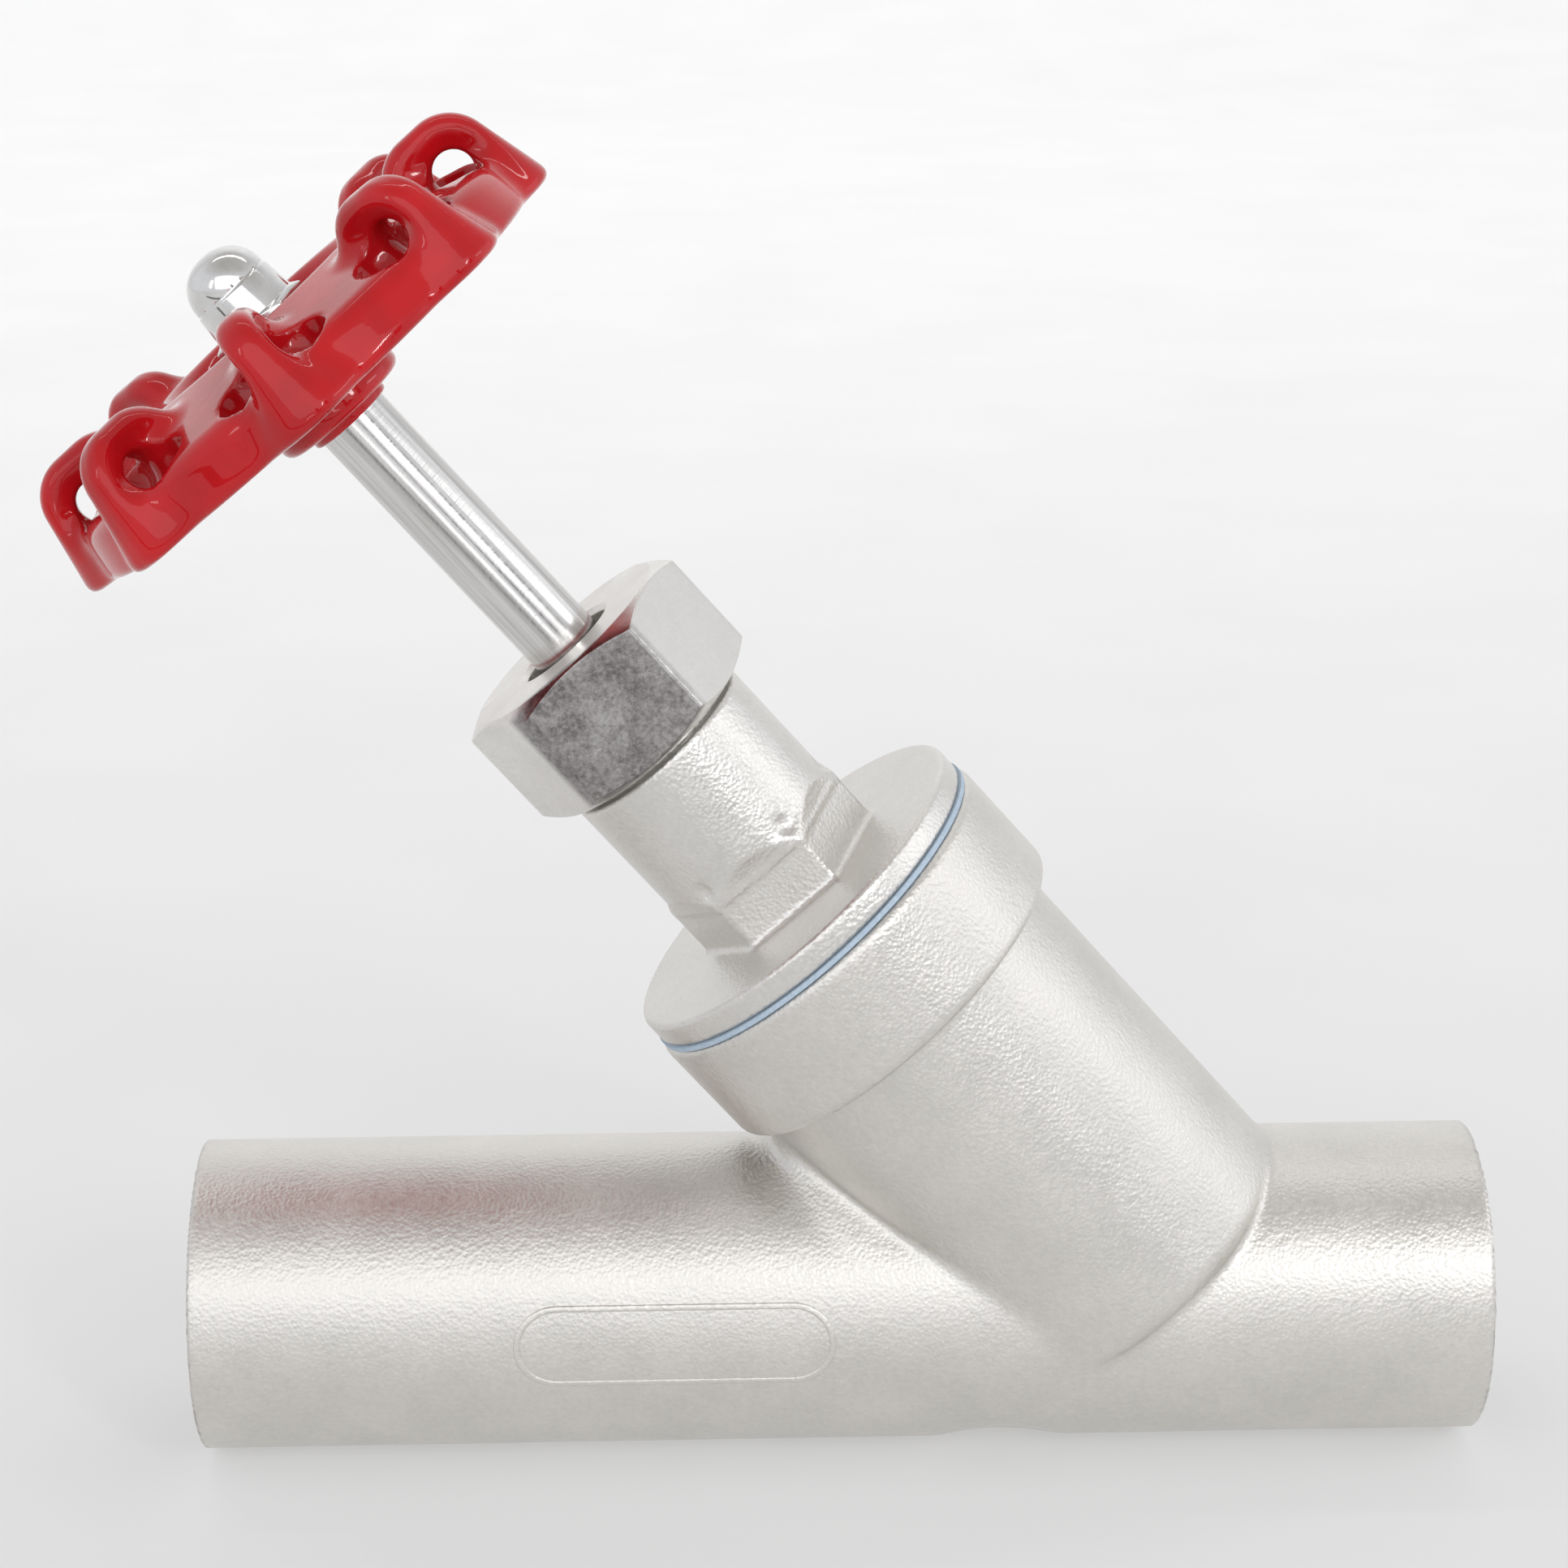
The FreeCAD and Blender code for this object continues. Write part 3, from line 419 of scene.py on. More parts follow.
def dipped_red():
    """Thick glossy red dip coating over a cast wheel."""
    n = Nodes("red_coating")
    at = n.place()
    swell = n.noise(at, 0.13, 2.0, 0.5)
    peel = n.noise(at, 0.9, 2.0, 0.4)
    pits = n.grains(at, 0.42)
    n.to("Base Color", n.ramp(swell, [(0.35, (0.40, 0.005, 0.008)), (0.65, (0.51, 0.007, 0.011))]))
    n.set("Metallic", 0.0)
    n.set("IOR", 1.45)
    n.set("Specular IOR Level", 0.05)
    n.set("Coat Weight", 1.0)
    n.set("Coat Roughness", 0.04)
    n.set("Coat IOR", 1.40)
    n.to("Roughness", n.span(peel, 0.22, 0.30))
    pimple = n.span(pits, 1.0, 0.0, 0.0, 0.14)
    soft = n.bump(swell, 0.13, 0.4)
    n.to("Normal", n.bump(peel, 0.012, 0.3, soft))
    n.to("Coat Normal", n.bump(pimple, 0.05, 0.2, n.bump(peel, 0.005, 0.2, soft)))
    return n.material


def mirror_steel():
    """Polished dome nut."""
    n = Nodes("polished_steel")
    at = n.place()
    haze = n.noise(at, 0.5, 3.0, 0.6)
    rings = n.noise(n.place(scale=(0.05, 0.05, 1.0), turn=stem_turn()), 2.4, 2.0, 0.5)
    n.to("Base Color", n.ramp(haze, [(0.3, (0.66, 0.655, 0.645)), (0.7, (0.78, 0.775, 0.765))]))
    n.to("Roughness", n.span(haze, 0.07, 0.14))
    n.set("Metallic", 1.0)
    n.to("Normal", n.bump(rings, 0.01, 0.35))
    return n.material


def ground_stem():
    """Stem: drawn streaks along it and fine turning rings round it."""
    n = Nodes("stem_steel")
    streaks = n.noise(n.place(scale=(1.0, 1.0, 0.03), turn=stem_turn()), 2.2, 3.0, 0.55)
    rings = n.noise(n.place(scale=(0.04, 0.04, 1.0), turn=stem_turn()), 4.5, 2.0, 0.6)
    n.to("Base Color", n.ramp(streaks, [(0.35, (0.58, 0.57, 0.555)), (0.65, (0.74, 0.73, 0.715))]))
    n.to("Roughness", n.span(rings, 0.14, 0.24))
    n.set("Metallic", 1.0)
    first = n.bump(streaks, 0.010, 0.4)
    n.to("Normal", n.bump(rings, 0.012, 0.5, first))
    return n.material


def blue_fibre():
    """Blue fibre gasket."""
    n = Nodes("gasket_blue")
    fibres = n.noise(n.place(), 2.5, 4.0, 0.65)
    n.to("Base Color", n.ramp(fibres, [(0.3, (0.36, 0.46, 0.56)), (0.7, (0.50, 0.60, 0.70))]))
    n.to("Roughness", n.span(fibres, 0.6, 0.85))
    n.to("Normal", n.bump(fibres, 0.06, 0.6))
    return n.material


def white_ptfe():
    """White fluoropolymer of the seals."""
    n = Nodes("ptfe")
    cloud = n.noise(n.place(), 0.4, 3.0, 0.5)
    n.to("Base Color", n.ramp(cloud, [(0.3, (0.80, 0.80, 0.77)), (0.7, (0.88, 0.88, 0.86))]))
    n.to("Roughness", n.span(cloud, 0.35, 0.5))
    n.to("Normal", n.bump(cloud, 0.03, 0.3))
    return n.material


MATERIALS = {
    "cast_body": cast_steel("cast_body", (0.75, 0.73, 0.695), (0.67, 0.655, 0.62), 0.42),
    "cast_bonnet": cast_steel("cast_bonnet", (0.77, 0.755, 0.725), (0.69, 0.675, 0.645), 0.38),
    "gasket_blue": blue_fibre(),
    "turned_steel": turned_steel("turned_steel", (0.72, 0.71, 0.69), (0.58, 0.57, 0.55), 0.26, 2.6),
    "ptfe": white_ptfe(),
    "nut_steel": milled_steel("nut_steel"),
    "stem_steel": ground_stem(),
    "red_coating": dipped_red(),
    "polished_steel": mirror_steel(),
}

for part in frame["record"]["subparts"]:
    slots = frame["nodes"][part["node"]].data.materials
    slots.clear()
    slots.append(MATERIALS[part["material_slot"]])

# Grid steps of the castings' surfaces.
WHEEL_STEP, BODY_STEP, BONNET_STEP = 0.34, 0.5, 0.36

# ------------------------------------------------------------------ handwheel

# Heights are above the rim's lower edge, "out" runs from the stem along a lobe's middle and
# "aside" across it.
LOBES = 8
LOBE_TURN = math.radians(7.0)
LOBE_HALF = 2.35
LOBE_FLARE = 2.9
LOBE_EDGE = 0.35
LOBE_ROOT, LOBE_BEND = 22.3, 24.9
LOBE_BELOW = 5.0
LOBE_SHY = 0.15
ARCH = 5.0
FLARE_TOP, FLARE_MOST = 9.5, 1.2
FLARE_START, FLARE_RUN = 22.0, 6.0
EYE_OUT, EYE_HEIGHT = 24.6, 6.8
EYE_RADIUS = 2.15
DISH_RADIUS, DISH_DEPTH = 5.3, 3.4
DISH_NEAREST = 1.1
PIT_OUT, PIT_HEIGHT = EYE_OUT - 0.4, EYE_HEIGHT - 0.2
PIT_SIZE = (3.0, 3.1, 2.9)
PIT_MIDDLE = 3.7
RIM_RADIUS = 29.1
RIM_WALL = 2.9
RIM_STUB = 0.6
LEAN = 0.21
CREST_RADIUS, CREST_HEIGHT = 15.0, 9.2
WEB_FALL = 0.27
WEB_WALL = 3.2
LOBE_CUT_HEIGHT, LOBE_CUT_SLOPE = 2.0, 4.0
RECESS_RADIUS, RECESS_FLOOR, RECESS_SLOPE = 9.0, 4.3, 0.73
HUB_RADIUS = 7.65
HUB_DROP = 3.5
HUB_STEP_RADIUS, HUB_STEP_DROP = 4.7, 1.0
HUB_CLEAR = 3.0
STEM_HOLE = 2.5
WHEEL_ROUND = {"recess_floor": 0.6, "rim_top": 1.7, "recess_lip": 1.6, "inner_corner": 2.5,
               "inner_edge": 1.0, "hub": 1.1, "hub_root": 1.2, "hub_step": 0.4, "dish": 1.0,
               "lobe_root": 2.6, "tunnel": 1.2, "eye": 0.35, "rim_foot": 1.6, "stem_hole": 0.2}


def wheel_plate(r, height):
    """Hub, crest ring, sloping web and leaning rim, all turned about the stem."""
    wall = r - RIM_RADIUS + LEAN * height
    web = (height - CREST_HEIGHT + WEB_FALL * (r - CREST_RADIUS)) / math.hypot(1.0, WEB_FALL)
    recess = blend_meet(r - RECESS_RADIUS - RECESS_SLOPE * (height - RECESS_FLOOR),
                        RECESS_FLOOR - height, WHEEL_ROUND["recess_floor"])
    shell = blend_cut(blend_meet(wall, web, WHEEL_ROUND["rim_top"]), recess,
                      WHEEL_ROUND["recess_lip"])
    under = blend_meet(wall + RIM_WALL, web + WEB_WALL, WHEEL_ROUND["inner_corner"])
    under = np.maximum(under, WEB_WALL - recess)
    shell = blend_cut(shell, under, WHEEL_ROUND["inner_edge"])
    hub = drum(r, height, HUB_RADIUS, -HUB_DROP, RECESS_FLOOR, WHEEL_ROUND["hub"])
    step = drum(r, height, HUB_STEP_RADIUS, -HUB_DROP - HUB_STEP_DROP, 0.0,
                WHEEL_ROUND["hub_step"])
    return blend_join(blend_join(shell, hub, WHEEL_ROUND["hub_root"]), step,
                      WHEEL_ROUND["hub_step"])


def wheel_lobe(out, along, height, top):
    """One upright loop with dished sides. It widens into a round nose at the rim."""
    root = (LOBE_ROOT, top - ARCH)
    bend = (LOBE_BEND, top - ARCH)
    foot = (WHEEL_RADIUS - ARCH - LOBE_SHY + LEAN * LOBE_BELOW, -LOBE_BELOW)
    loop = np.minimum(bar(out, height, root, bend, ARCH), bar(out, height, bend, foot, ARCH))
    lower = np.clip((FLARE_TOP - height) / FLARE_TOP, 0.0, FLARE_MOST)
    half = LOBE_HALF + LOBE_FLARE * (lower * np.clip((out - FLARE_START) / FLARE_RUN,
                                                     0.0, 1.0)) ** 1.5
    lobe = extrude(loop, along, half, half - LOBE_EDGE)
    dish = np.sqrt(((out - EYE_OUT) / DISH_RADIUS) ** 2 + ((height - EYE_HEIGHT) / DISH_RADIUS) ** 2
                   + ((np.abs(along) - DISH_NEAREST - DISH_DEPTH) / DISH_DEPTH) ** 2)
    return blend_cut(lobe, (dish - 1.0) * DISH_DEPTH, WHEEL_ROUND["dish"])


def wheel_field(u, v, station):
    """The dip-coated wheel."""
    height = station - WHEEL_LOW - HUB_DROP
    top = WHEEL_TOP - WHEEL_LOW - HUB_DROP
    r = np.hypot(u, v)
    pitch = 2 * math.pi / LOBES
    folded = np.mod(np.arctan2(u, -v) - LOBE_TURN + pitch / 2, pitch) - pitch / 2
    out = r * np.cos(folded)
    along = r * np.sin(folded)
    aside = np.abs(along)

    lobe = wheel_lobe(out, along, height, top)
    # Under the web only the rim's own thickness of the lobe is kept.
    lobe = np.maximum(lobe, RIM_RADIUS - RIM_WALL - RIM_STUB - LEAN * height - out
                      - np.maximum(height - LOBE_CUT_HEIGHT, 0.0) * LOBE_CUT_SLOPE)
    wheel = blend_join(wheel_plate(r, height), lobe, WHEEL_ROUND["lobe_root"])
    pit = np.sqrt(((out - PIT_OUT) / PIT_SIZE[0]) ** 2 + ((aside - PIT_MIDDLE) / PIT_SIZE[1]) ** 2
                  + ((height - PIT_HEIGHT) / PIT_SIZE[2]) ** 2)
    eye = np.hypot(out - EYE_OUT, height - EYE_HEIGHT) - EYE_RADIUS
    tunnel = blend_join((pit - 1.0) * min(PIT_SIZE), np.maximum(eye, aside - PIT_MIDDLE),
                        WHEEL_ROUND["tunnel"])
    wheel = blend_cut(wheel, tunnel, WHEEL_ROUND["eye"])
    trimmed = blend_cut(wheel, height, WHEEL_ROUND["rim_foot"])
    wheel = np.where(r > HUB_RADIUS + HUB_CLEAR, trimmed, wheel)
    return blend_cut(wheel, r - STEM_HOLE, WHEEL_ROUND["stem_hole"])


def make_handwheel():
    """The coated wheel in place of its CAD node."""
    low = (-WHEEL_RADIUS, -WHEEL_RADIUS, WHEEL_LOW - HUB_STEP_DROP)
    high = (WHEEL_RADIUS, WHEEL_RADIUS, WHEEL_TOP)
    points, quads = mesh_of_field(wheel_field, low, high, WHEEL_STEP)
    make_piece("handwheel_coated", to_row(points), quads, MATERIALS["red_coating"],
               "spindle", ["handwheel"])


make_handwheel()

# ------------------------------------------------------------------ valve body

WELD_BORE = 14.25
WELD_BORE_LENGTH = 14.0
WATERWAY = 13.6
PAST_END = 1.0
BRANCH_RADIUS = 19.3
BRANCH_LOW = 3.6
COLLAR_RADIUS = 21.8
COLLAR_LOW = 45.8
BRANCH_TOP = COLLAR_LOW + 6.0
CHAMBER = 15.8
CHAMBER_TOP = COLLAR_LOW + 2.0
COLLAR_BORE = 18.2
COLLAR_BORE_LOW = COLLAR_LOW + 0.8
SEAT_WALL_LOW, SEAT_WALL_TOP = 3.3, 6.4
SEAT_BORE, SEAT_LIP, SEAT_TOP = 12.0, 13.2, 8.0
SADDLE_START, SADDLE_RUN = 15.0, 5.0
FLANK_FILLET, SADDLE_FILLET = 0.9, 5.0
GRIND = {"radius": 23.0, "depth": 0.9, "place": 87.0, "rise": math.radians(-60.0)}
BODY_ROUND = {"pipe_end": 0.25, "branch_foot": 2.4, "collar": 1.0, "collar_root": 0.6,
              "grind": 0.35, "hollow": 0.25}


def from_middle(x):
    """Distance along the pipe from its middle."""
    return np.abs(x - PIPE_LENGTH / 2)


def body_outside(x, y, z, u, station):
    """Pipe, leaning branch and collar, run together as one casting."""
    around = np.hypot(u, y)
    pipe = drum(np.hypot(y, z), x, PIPE_RADIUS, 0.0, PIPE_LENGTH, BODY_ROUND["pipe_end"])
    branch = drum(around, station, BRANCH_RADIUS, BRANCH_LOW, BRANCH_TOP,
                  BODY_ROUND["branch_foot"])
    collar = drum(around, station, COLLAR_RADIUS, COLLAR_LOW, COLLAR_TOP, BODY_ROUND["collar"])
    # The fillet is tight on the flanks and opens into a saddle under the collar.
    saddle = np.clip((-u - SADDLE_START) / SADDLE_RUN, 0.0, 1.0)
    saddle = saddle * saddle * (3.0 - 2.0 * saddle)
    leaning = blend_join(branch, collar, BODY_ROUND["collar_root"])
    return blend_join(pipe, leaning, FLANK_FILLET + SADDLE_FILLET * saddle)


def body_hollow(x, y, z, u, station):
    """Weld bores, waterway, seat opening, branch chamber and the collar's bore."""
    around = np.hypot(u, y)
    from_pipe = np.hypot(y, z)
    leg = np.maximum(from_pipe - WATERWAY, from_middle(x) - PIPE_LENGTH / 2 + PAST_END)
    outlet = np.maximum(leg, SEAT_WALL_TOP - station)
    chamber = np.maximum(around - CHAMBER, SEAT_WALL_TOP - station)
    above = np.minimum(outlet, np.maximum(chamber, station - CHAMBER_TOP))
    above = np.minimum(above, np.maximum(around - COLLAR_BORE, COLLAR_BORE_LOW - station))
    lip = np.maximum(around - SEAT_LIP, station - SEAT_TOP)
    above = np.maximum(above, -lip)
    inlet = np.maximum(leg, station - SEAT_WALL_LOW)
    opening = np.maximum(around - SEAT_BORE,
                         np.abs(station - SEAT_TOP / 2) - SEAT_TOP / 2 - PAST_END)
    bores = np.maximum(from_pipe - WELD_BORE,
                       PIPE_LENGTH / 2 - WELD_BORE_LENGTH - from_middle(x))
    return np.minimum(np.minimum(above, inlet), np.minimum(opening, bores))


def ground_mark(x, y, z):
    """The grinding wheel that took the casting gate off the underside."""
    outward = -y * math.cos(GRIND["rise"]) + z * math.sin(GRIND["rise"])
    reach = PIPE_RADIUS + GRIND["radius"] - GRIND["depth"]
    return np.hypot(x - GRIND["place"], outward - reach) - GRIND["radius"]


def body_field(x, y, z):
    away = x - CROSSING.x / MM
    u = away * ACROSS.x + z * ACROSS.z
    station = away * STEM.x + z * STEM.z
    solid = blend_cut(body_outside(x, y, z, u, station), ground_mark(x, y, z), BODY_ROUND["grind"])
    return blend_cut(solid, body_hollow(x, y, z, u, station), BODY_ROUND["hollow"])


def make_body():
    """The body casting in place of its CAD node."""
    low = [c / MM for c in BODY_LOW]
    high = [c / MM for c in BODY_HIGH]
    points, quads = mesh_of_field(body_field, low, high, BODY_STEP)
    make_piece("body_casting", points * MM, quads, MATERIALS["cast_body"],
               "valve_body", ["body"])


PANEL_CENTRE, PANEL_LENGTH, PANEL_WIDTH = 51.6, 33.6, 8.6
PANEL_RISE = math.radians(3.5)
PANEL_STEPS = 40
RIM_HALF, RIM_HEIGHT, RIM_SUNK, RIM_ROOT = 0.36, 0.17, 0.04, 0.3
RIM_STEPS = 10


def on_pipe(x, arc, height):
    """Row-frame point of the pipe's skin: arc runs up round the front from the panel's middle."""
    angle = PANEL_RISE + arc / PIPE_RADIUS
    reach = PIPE_RADIUS + height
    return (x * MM, -reach * math.cos(angle) * MM, reach * math.sin(angle) * MM)


def panel_path():
    """Round the stadium: place along the pipe, arc round it, and the way out of the panel."""
    half_flat = (PANEL_LENGTH - PANEL_WIDTH) / 2
    end_radius = PANEL_WIDTH / 2
    path = []
    for side in (1, -1):
        for i in range(PANEL_STEPS + 1):
            x = side * (-half_flat + 2 * half_flat * i / PANEL_STEPS)
            path.append((x, -side * end_radius, 0.0, -side))
        for i in range(1, PANEL_STEPS):
            a = math.pi * i / PANEL_STEPS
            path.append((side * (half_flat + end_radius * math.sin(a)),
                         -side * end_radius * math.cos(a),
                         side * math.sin(a), -side * math.cos(a)))
    return path


def make_panel_rim():
    """Raised line round the blank marking panel: a low ridge, half sunk in the pipe's skin."""
    path = panel_path()
    points = []
    for x, arc, out_x, out_arc in path:
        for i in range(RIM_STEPS + 1):
            a = math.pi * i / RIM_STEPS
            shift = RIM_HALF * math.cos(a)
            height = RIM_HEIGHT * math.sin(a) ** 0.8 - RIM_SUNK
            points.append(on_pipe(PANEL_CENTRE + x + out_x * shift,
                                  arc + out_arc * shift, height))
        points.append(on_pipe(PANEL_CENTRE + x, arc, -RIM_ROOT))
    make_piece("marking_panel_rim", points, closed_quads(len(path), RIM_STEPS + 2),
               MATERIALS["cast_body"], "valve_body")


make_body()
make_panel_rim()

# ------------------------------------------------------------------ bonnet

FLANGE_TOP = 62.3
HEX_LOW, HEX_TOP = 60.0, 69.4
HEX_FLATS = 20.0
HEX_CORNER = HEX_FLATS / math.sqrt(3.0)
HEX_TURN = math.radians(2.1)
NECK_RADIUS = 10.95
NECK_TOP = 83.7
NECK_LOW = HEX_TOP + 0.6
SLOPE_LOW, SLOPE_RUN, SLOPE_OUT = HEX_TOP - 0.8, 2.6, 1.4
SLOPE_MIDDLE, SLOPE_HALF = HEX_TOP + 1.0, 2.2
SHOULDER_LOW, SHOULDER_SLOPE = HEX_TOP - 0.9, 0.7
DIMPLE_RADIUS, DIMPLE_OUT = 1.0, HEX_CORNER + 0.1
DIMPLE_STATION, DIMPLE_SQUASH = HEX_TOP + 0.9, 0.8
MALE_RADIUS = 18.1
THREAD_RADIUS = 9.9
THREAD_TOP = 92.0
# Radius, lowest and highest station of each hollow.
BONNET_HOLLOWS = {"disc_room": (12.5, 40.0, 50.0), "stem_thread": (5.0, 45.0, 68.5),
                  "backseat": (5.6, 68.0, 75.0), "stem_guide": (4.03, 70.0, 80.0),
                  "packing_box": (6.5, 76.2, 100.0)}
BONNET_ROUND = {"flange": 0.5, "neck": 0.45, "hexagon": 0.35, "neck_root": 1.1, "dimple": 0.4,
                "hexagon_root": 0.9, "thread": 0.4, "hollow": 0.2}


def hexagon(u, v, flats, turn):
    """Flat field of a hexagon with a corner at the angle turn, and the angle to its corner."""
    r = np.hypot(u, v)
    sixth = math.pi / 3
    to_flat = np.mod(np.arctan2(v, u) - turn, sixth) - sixth / 2
    return r * np.cos(to_flat) - flats / 2, sixth / 2 - np.abs(to_flat), r


def bonnet_hollow(r, station):
    """Room for the disc, thread and guide of the stem, and the packing box."""
    hollow = None
    for radius, low, high in BONNET_HOLLOWS.values():
        one = drum(r, station, radius, low, high, BONNET_ROUND["hollow"])
        hollow = one if hollow is None else np.minimum(hollow, one)
    return hollow


def bonnet_field(u, v, station):
    """Flange, hexagon with a dimple over each corner, neck and both threaded ends."""
    flat, to_corner, r = hexagon(u, v, HEX_FLATS, HEX_TURN)
    flange = drum(r, station, FLANGE_RADIUS, FLANGE_LOW, FLANGE_TOP, BONNET_ROUND["flange"])
    neck = drum(r, station, NECK_RADIUS, NECK_LOW, NECK_TOP, BONNET_ROUND["neck"])
    # Above the flats the neck comes out to its full radius along a short slope.
    slope = np.clip((station - SLOPE_LOW) / SLOPE_RUN, 0.0, 1.0)
    ramp = np.maximum(np.maximum(flat - slope * SLOPE_OUT, r - NECK_RADIUS),
                      np.abs(station - SLOPE_MIDDLE) - SLOPE_HALF)
    shoulder = r - HEX_CORNER + np.maximum(station - SHOULDER_LOW, 0.0) * SHOULDER_SLOPE
    hexagonal = extrude(np.maximum(flat, shoulder), station - (HEX_TOP + HEX_LOW) / 2,
                        (HEX_TOP - HEX_LOW) / 2, BONNET_ROUND["hexagon"])
    bonnet = blend_join(hexagonal, np.minimum(neck, ramp), BONNET_ROUND["neck_root"])
    dimple = np.sqrt((r * np.sin(to_corner)) ** 2 + (r * np.cos(to_corner) - DIMPLE_OUT) ** 2
                     + ((station - DIMPLE_STATION) * DIMPLE_SQUASH) ** 2) - DIMPLE_RADIUS
    bonnet = blend_cut(bonnet, dimple, BONNET_ROUND["dimple"])
    bonnet = blend_join(bonnet, flange, BONNET_ROUND["hexagon_root"])
    male = drum(r, station, MALE_RADIUS, BONNET_LOW, FLANGE_LOW + 0.5, BONNET_ROUND["thread"])
    thread = drum(r, station, THREAD_RADIUS, NECK_TOP - 1.0, THREAD_TOP, BONNET_ROUND["thread"])
    bonnet = np.minimum(np.minimum(bonnet, male), thread)
    return blend_cut(bonnet, bonnet_hollow(r, station), BONNET_ROUND["hollow"])


def make_bonnet():
    """The bonnet casting in place of its CAD node."""
    low = (-FLANGE_RADIUS, -FLANGE_RADIUS, BONNET_LOW)
    high = (FLANGE_RADIUS, FLANGE_RADIUS, BONNET_TOP)
    points, quads = mesh_of_field(bonnet_field, low, high, BONNET_STEP)
    make_piece("bonnet_casting", to_row(points), quads, MATERIALS["cast_bonnet"],
               "valve_body", ["bonnet"])


make_bonnet()

# ------------------------------------------------------------------ nuts


def soften(outline, radius, steps=3):
    """A closed outline of (radius, station) points with each corner rounded."""
    result = []
    count = len(outline)
    for i in range(count):
        before, here, after = (Vector(outline[(i + k) % count]) for k in (-1, 0, 1))
        reach = min(radius, (before - here).length * 0.45, (after - here).length * 0.45)
        start = here + (before - here).normalized() * reach
        end = here + (after - here).normalized() * reach
        for k in range(steps + 1):
            a = k / steps
            result.append(tuple(start.lerp(here, a).lerp(here.lerp(end, a), a)))
    return result


def hexagon_reach(angle, flats, turn, sharpness=70.0):
    """Distance from the axis to a hexagon's edge, its corners a little rounded."""
    total = 0.0
    for k in range(6):
        side = math.cos(angle - turn - math.pi / 6 - k * math.pi / 3)
        if side > 0:
            total += (side / (flats / 2)) ** sharpness
    return total ** (-1 / sharpness)


MERGE_GAP, SHORTEST_EDGE = 0.002, 0.0005


def ring_piece(name, outline_at, material, body, stands_for, around=720):
    """A closed outline carried once round the stem. outline_at(angle) gives (radius, station)."""
    points = []
    for i in range(around):
        angle = 2 * math.pi * i / around
        for radius, station in outline_at(angle):
            points.append((radius * math.cos(angle), radius * math.sin(angle), station))
    quads = closed_quads(around, len(points) // around)
    piece = make_piece(name, to_row(points), quads, material, body, stands_for)
    mesh = bmesh.new()
    mesh.from_mesh(piece.data)
    bmesh.ops.remove_doubles(mesh, verts=mesh.verts, dist=MERGE_GAP * MM)
    bmesh.ops.dissolve_degenerate(mesh, edges=mesh.edges, dist=SHORTEST_EDGE * MM)
    bmesh.ops.recalc_face_normals(mesh, faces=mesh.faces)
    mesh.to_mesh(piece.data)
    mesh.free()
    even = piece.modifiers.new("even_normals", "WEIGHTED_NORMAL")
    even.keep_sharp = True
    return piece


CHAMFER = math.tan(math.radians(30.0))
CHAMFER_START = 0.485
CORNER_ROUND = 0.14
NUT_TURN = math.radians(6.3)
NUT_SKIRT = 0.55
NUT_SHOULDER = 93.4
NUT_HOLE = 5.45
NUT_HOLE_CHAMFER = 0.5
NUT_THREAD = THREAD_RADIUS + 0.1
NUT_THREAD_CHAMFER = 0.7
CAP_FLATS = 10.0
CAP_TURN = math.radians(10.0)
CAP_SHARPNESS = 40.0
CAP_HEX_TOP = 144.0
CAP_THREAD = 2.5
CAP_FOOT, CAP_SHOULDER, DOME_RADIUS = 4.8, 4.45, 4.35
DOME_HEIGHT = 4.0
DOME_POWER = 0.9
DOME_STEPS = 14
DOME_WALL = 1.5


def hexagon_ends(angle, flats, turn, low, high, sharpness=70.0):
    """Outline points of a hexagon's outside, chamfered round at both ends, from top to bottom."""
    edge = hexagon_reach(angle, flats, turn, sharpness)
    inside = flats * CHAMFER_START
    drop = (edge - inside) * CHAMFER
    return [(inside, high), (edge, high - drop), (edge, low + drop), (inside, low)]


def packing_nut_outline(angle):
    """The nut reaches a little further down than its CAD node, over the neck's thread."""
    foot = NUT_LOW - NUT_SKIRT
    return soften([
        (NUT_THREAD, NUT_SHOULDER), (NUT_HOLE, NUT_SHOULDER),
        (NUT_HOLE, NUT_TOP - NUT_HOLE_CHAMFER), (NUT_HOLE + NUT_HOLE_CHAMFER, NUT_TOP),
        *hexagon_ends(angle, NUT_FLATS, NUT_TURN, foot, NUT_TOP),
        (NUT_THREAD + NUT_THREAD_CHAMFER, foot), (NUT_THREAD, foot + NUT_THREAD_CHAMFER),
    ], CORNER_ROUND)


def cap_nut_outline(angle):
    """Low hexagon, shoulder and dome of the blind nut."""
    start = CAP_TIP - DOME_HEIGHT
    dome = []
    for i in range(DOME_STEPS + 1):
        a = math.pi / 2 * i / DOME_STEPS
        dome.append((DOME_RADIUS * math.cos(a) ** DOME_POWER, start + DOME_HEIGHT * math.sin(a)))
    outside = hexagon_ends(angle, CAP_FLATS, CAP_TURN, CAP_LOW, CAP_HEX_TOP, CAP_SHARPNESS)
    outline = soften([
        (CAP_THREAD, STEM_TIP), (CAP_THREAD, CAP_LOW + 0.4), (CAP_THREAD + 0.4, CAP_LOW),
        *reversed(outside), (CAP_FOOT, CAP_HEX_TOP + 0.05), (CAP_SHOULDER, start - 0.3),
    ], CORNER_ROUND)
    return outline + dome + [(0.0, CAP_TIP - DOME_WALL), (0.0, STEM_TIP)]


def make_nuts():
    """The packing nut and the dome nut in place of their CAD nodes."""
    ring_piece("packing_nut_milled", packing_nut_outline, MATERIALS["nut_steel"],
               "valve_body", ["packing_nut"])
    ring_piece("cap_nut_domed", cap_nut_outline, MATERIALS["polished_steel"],
               "spindle", ["cap_nut"], 360)


make_nuts()


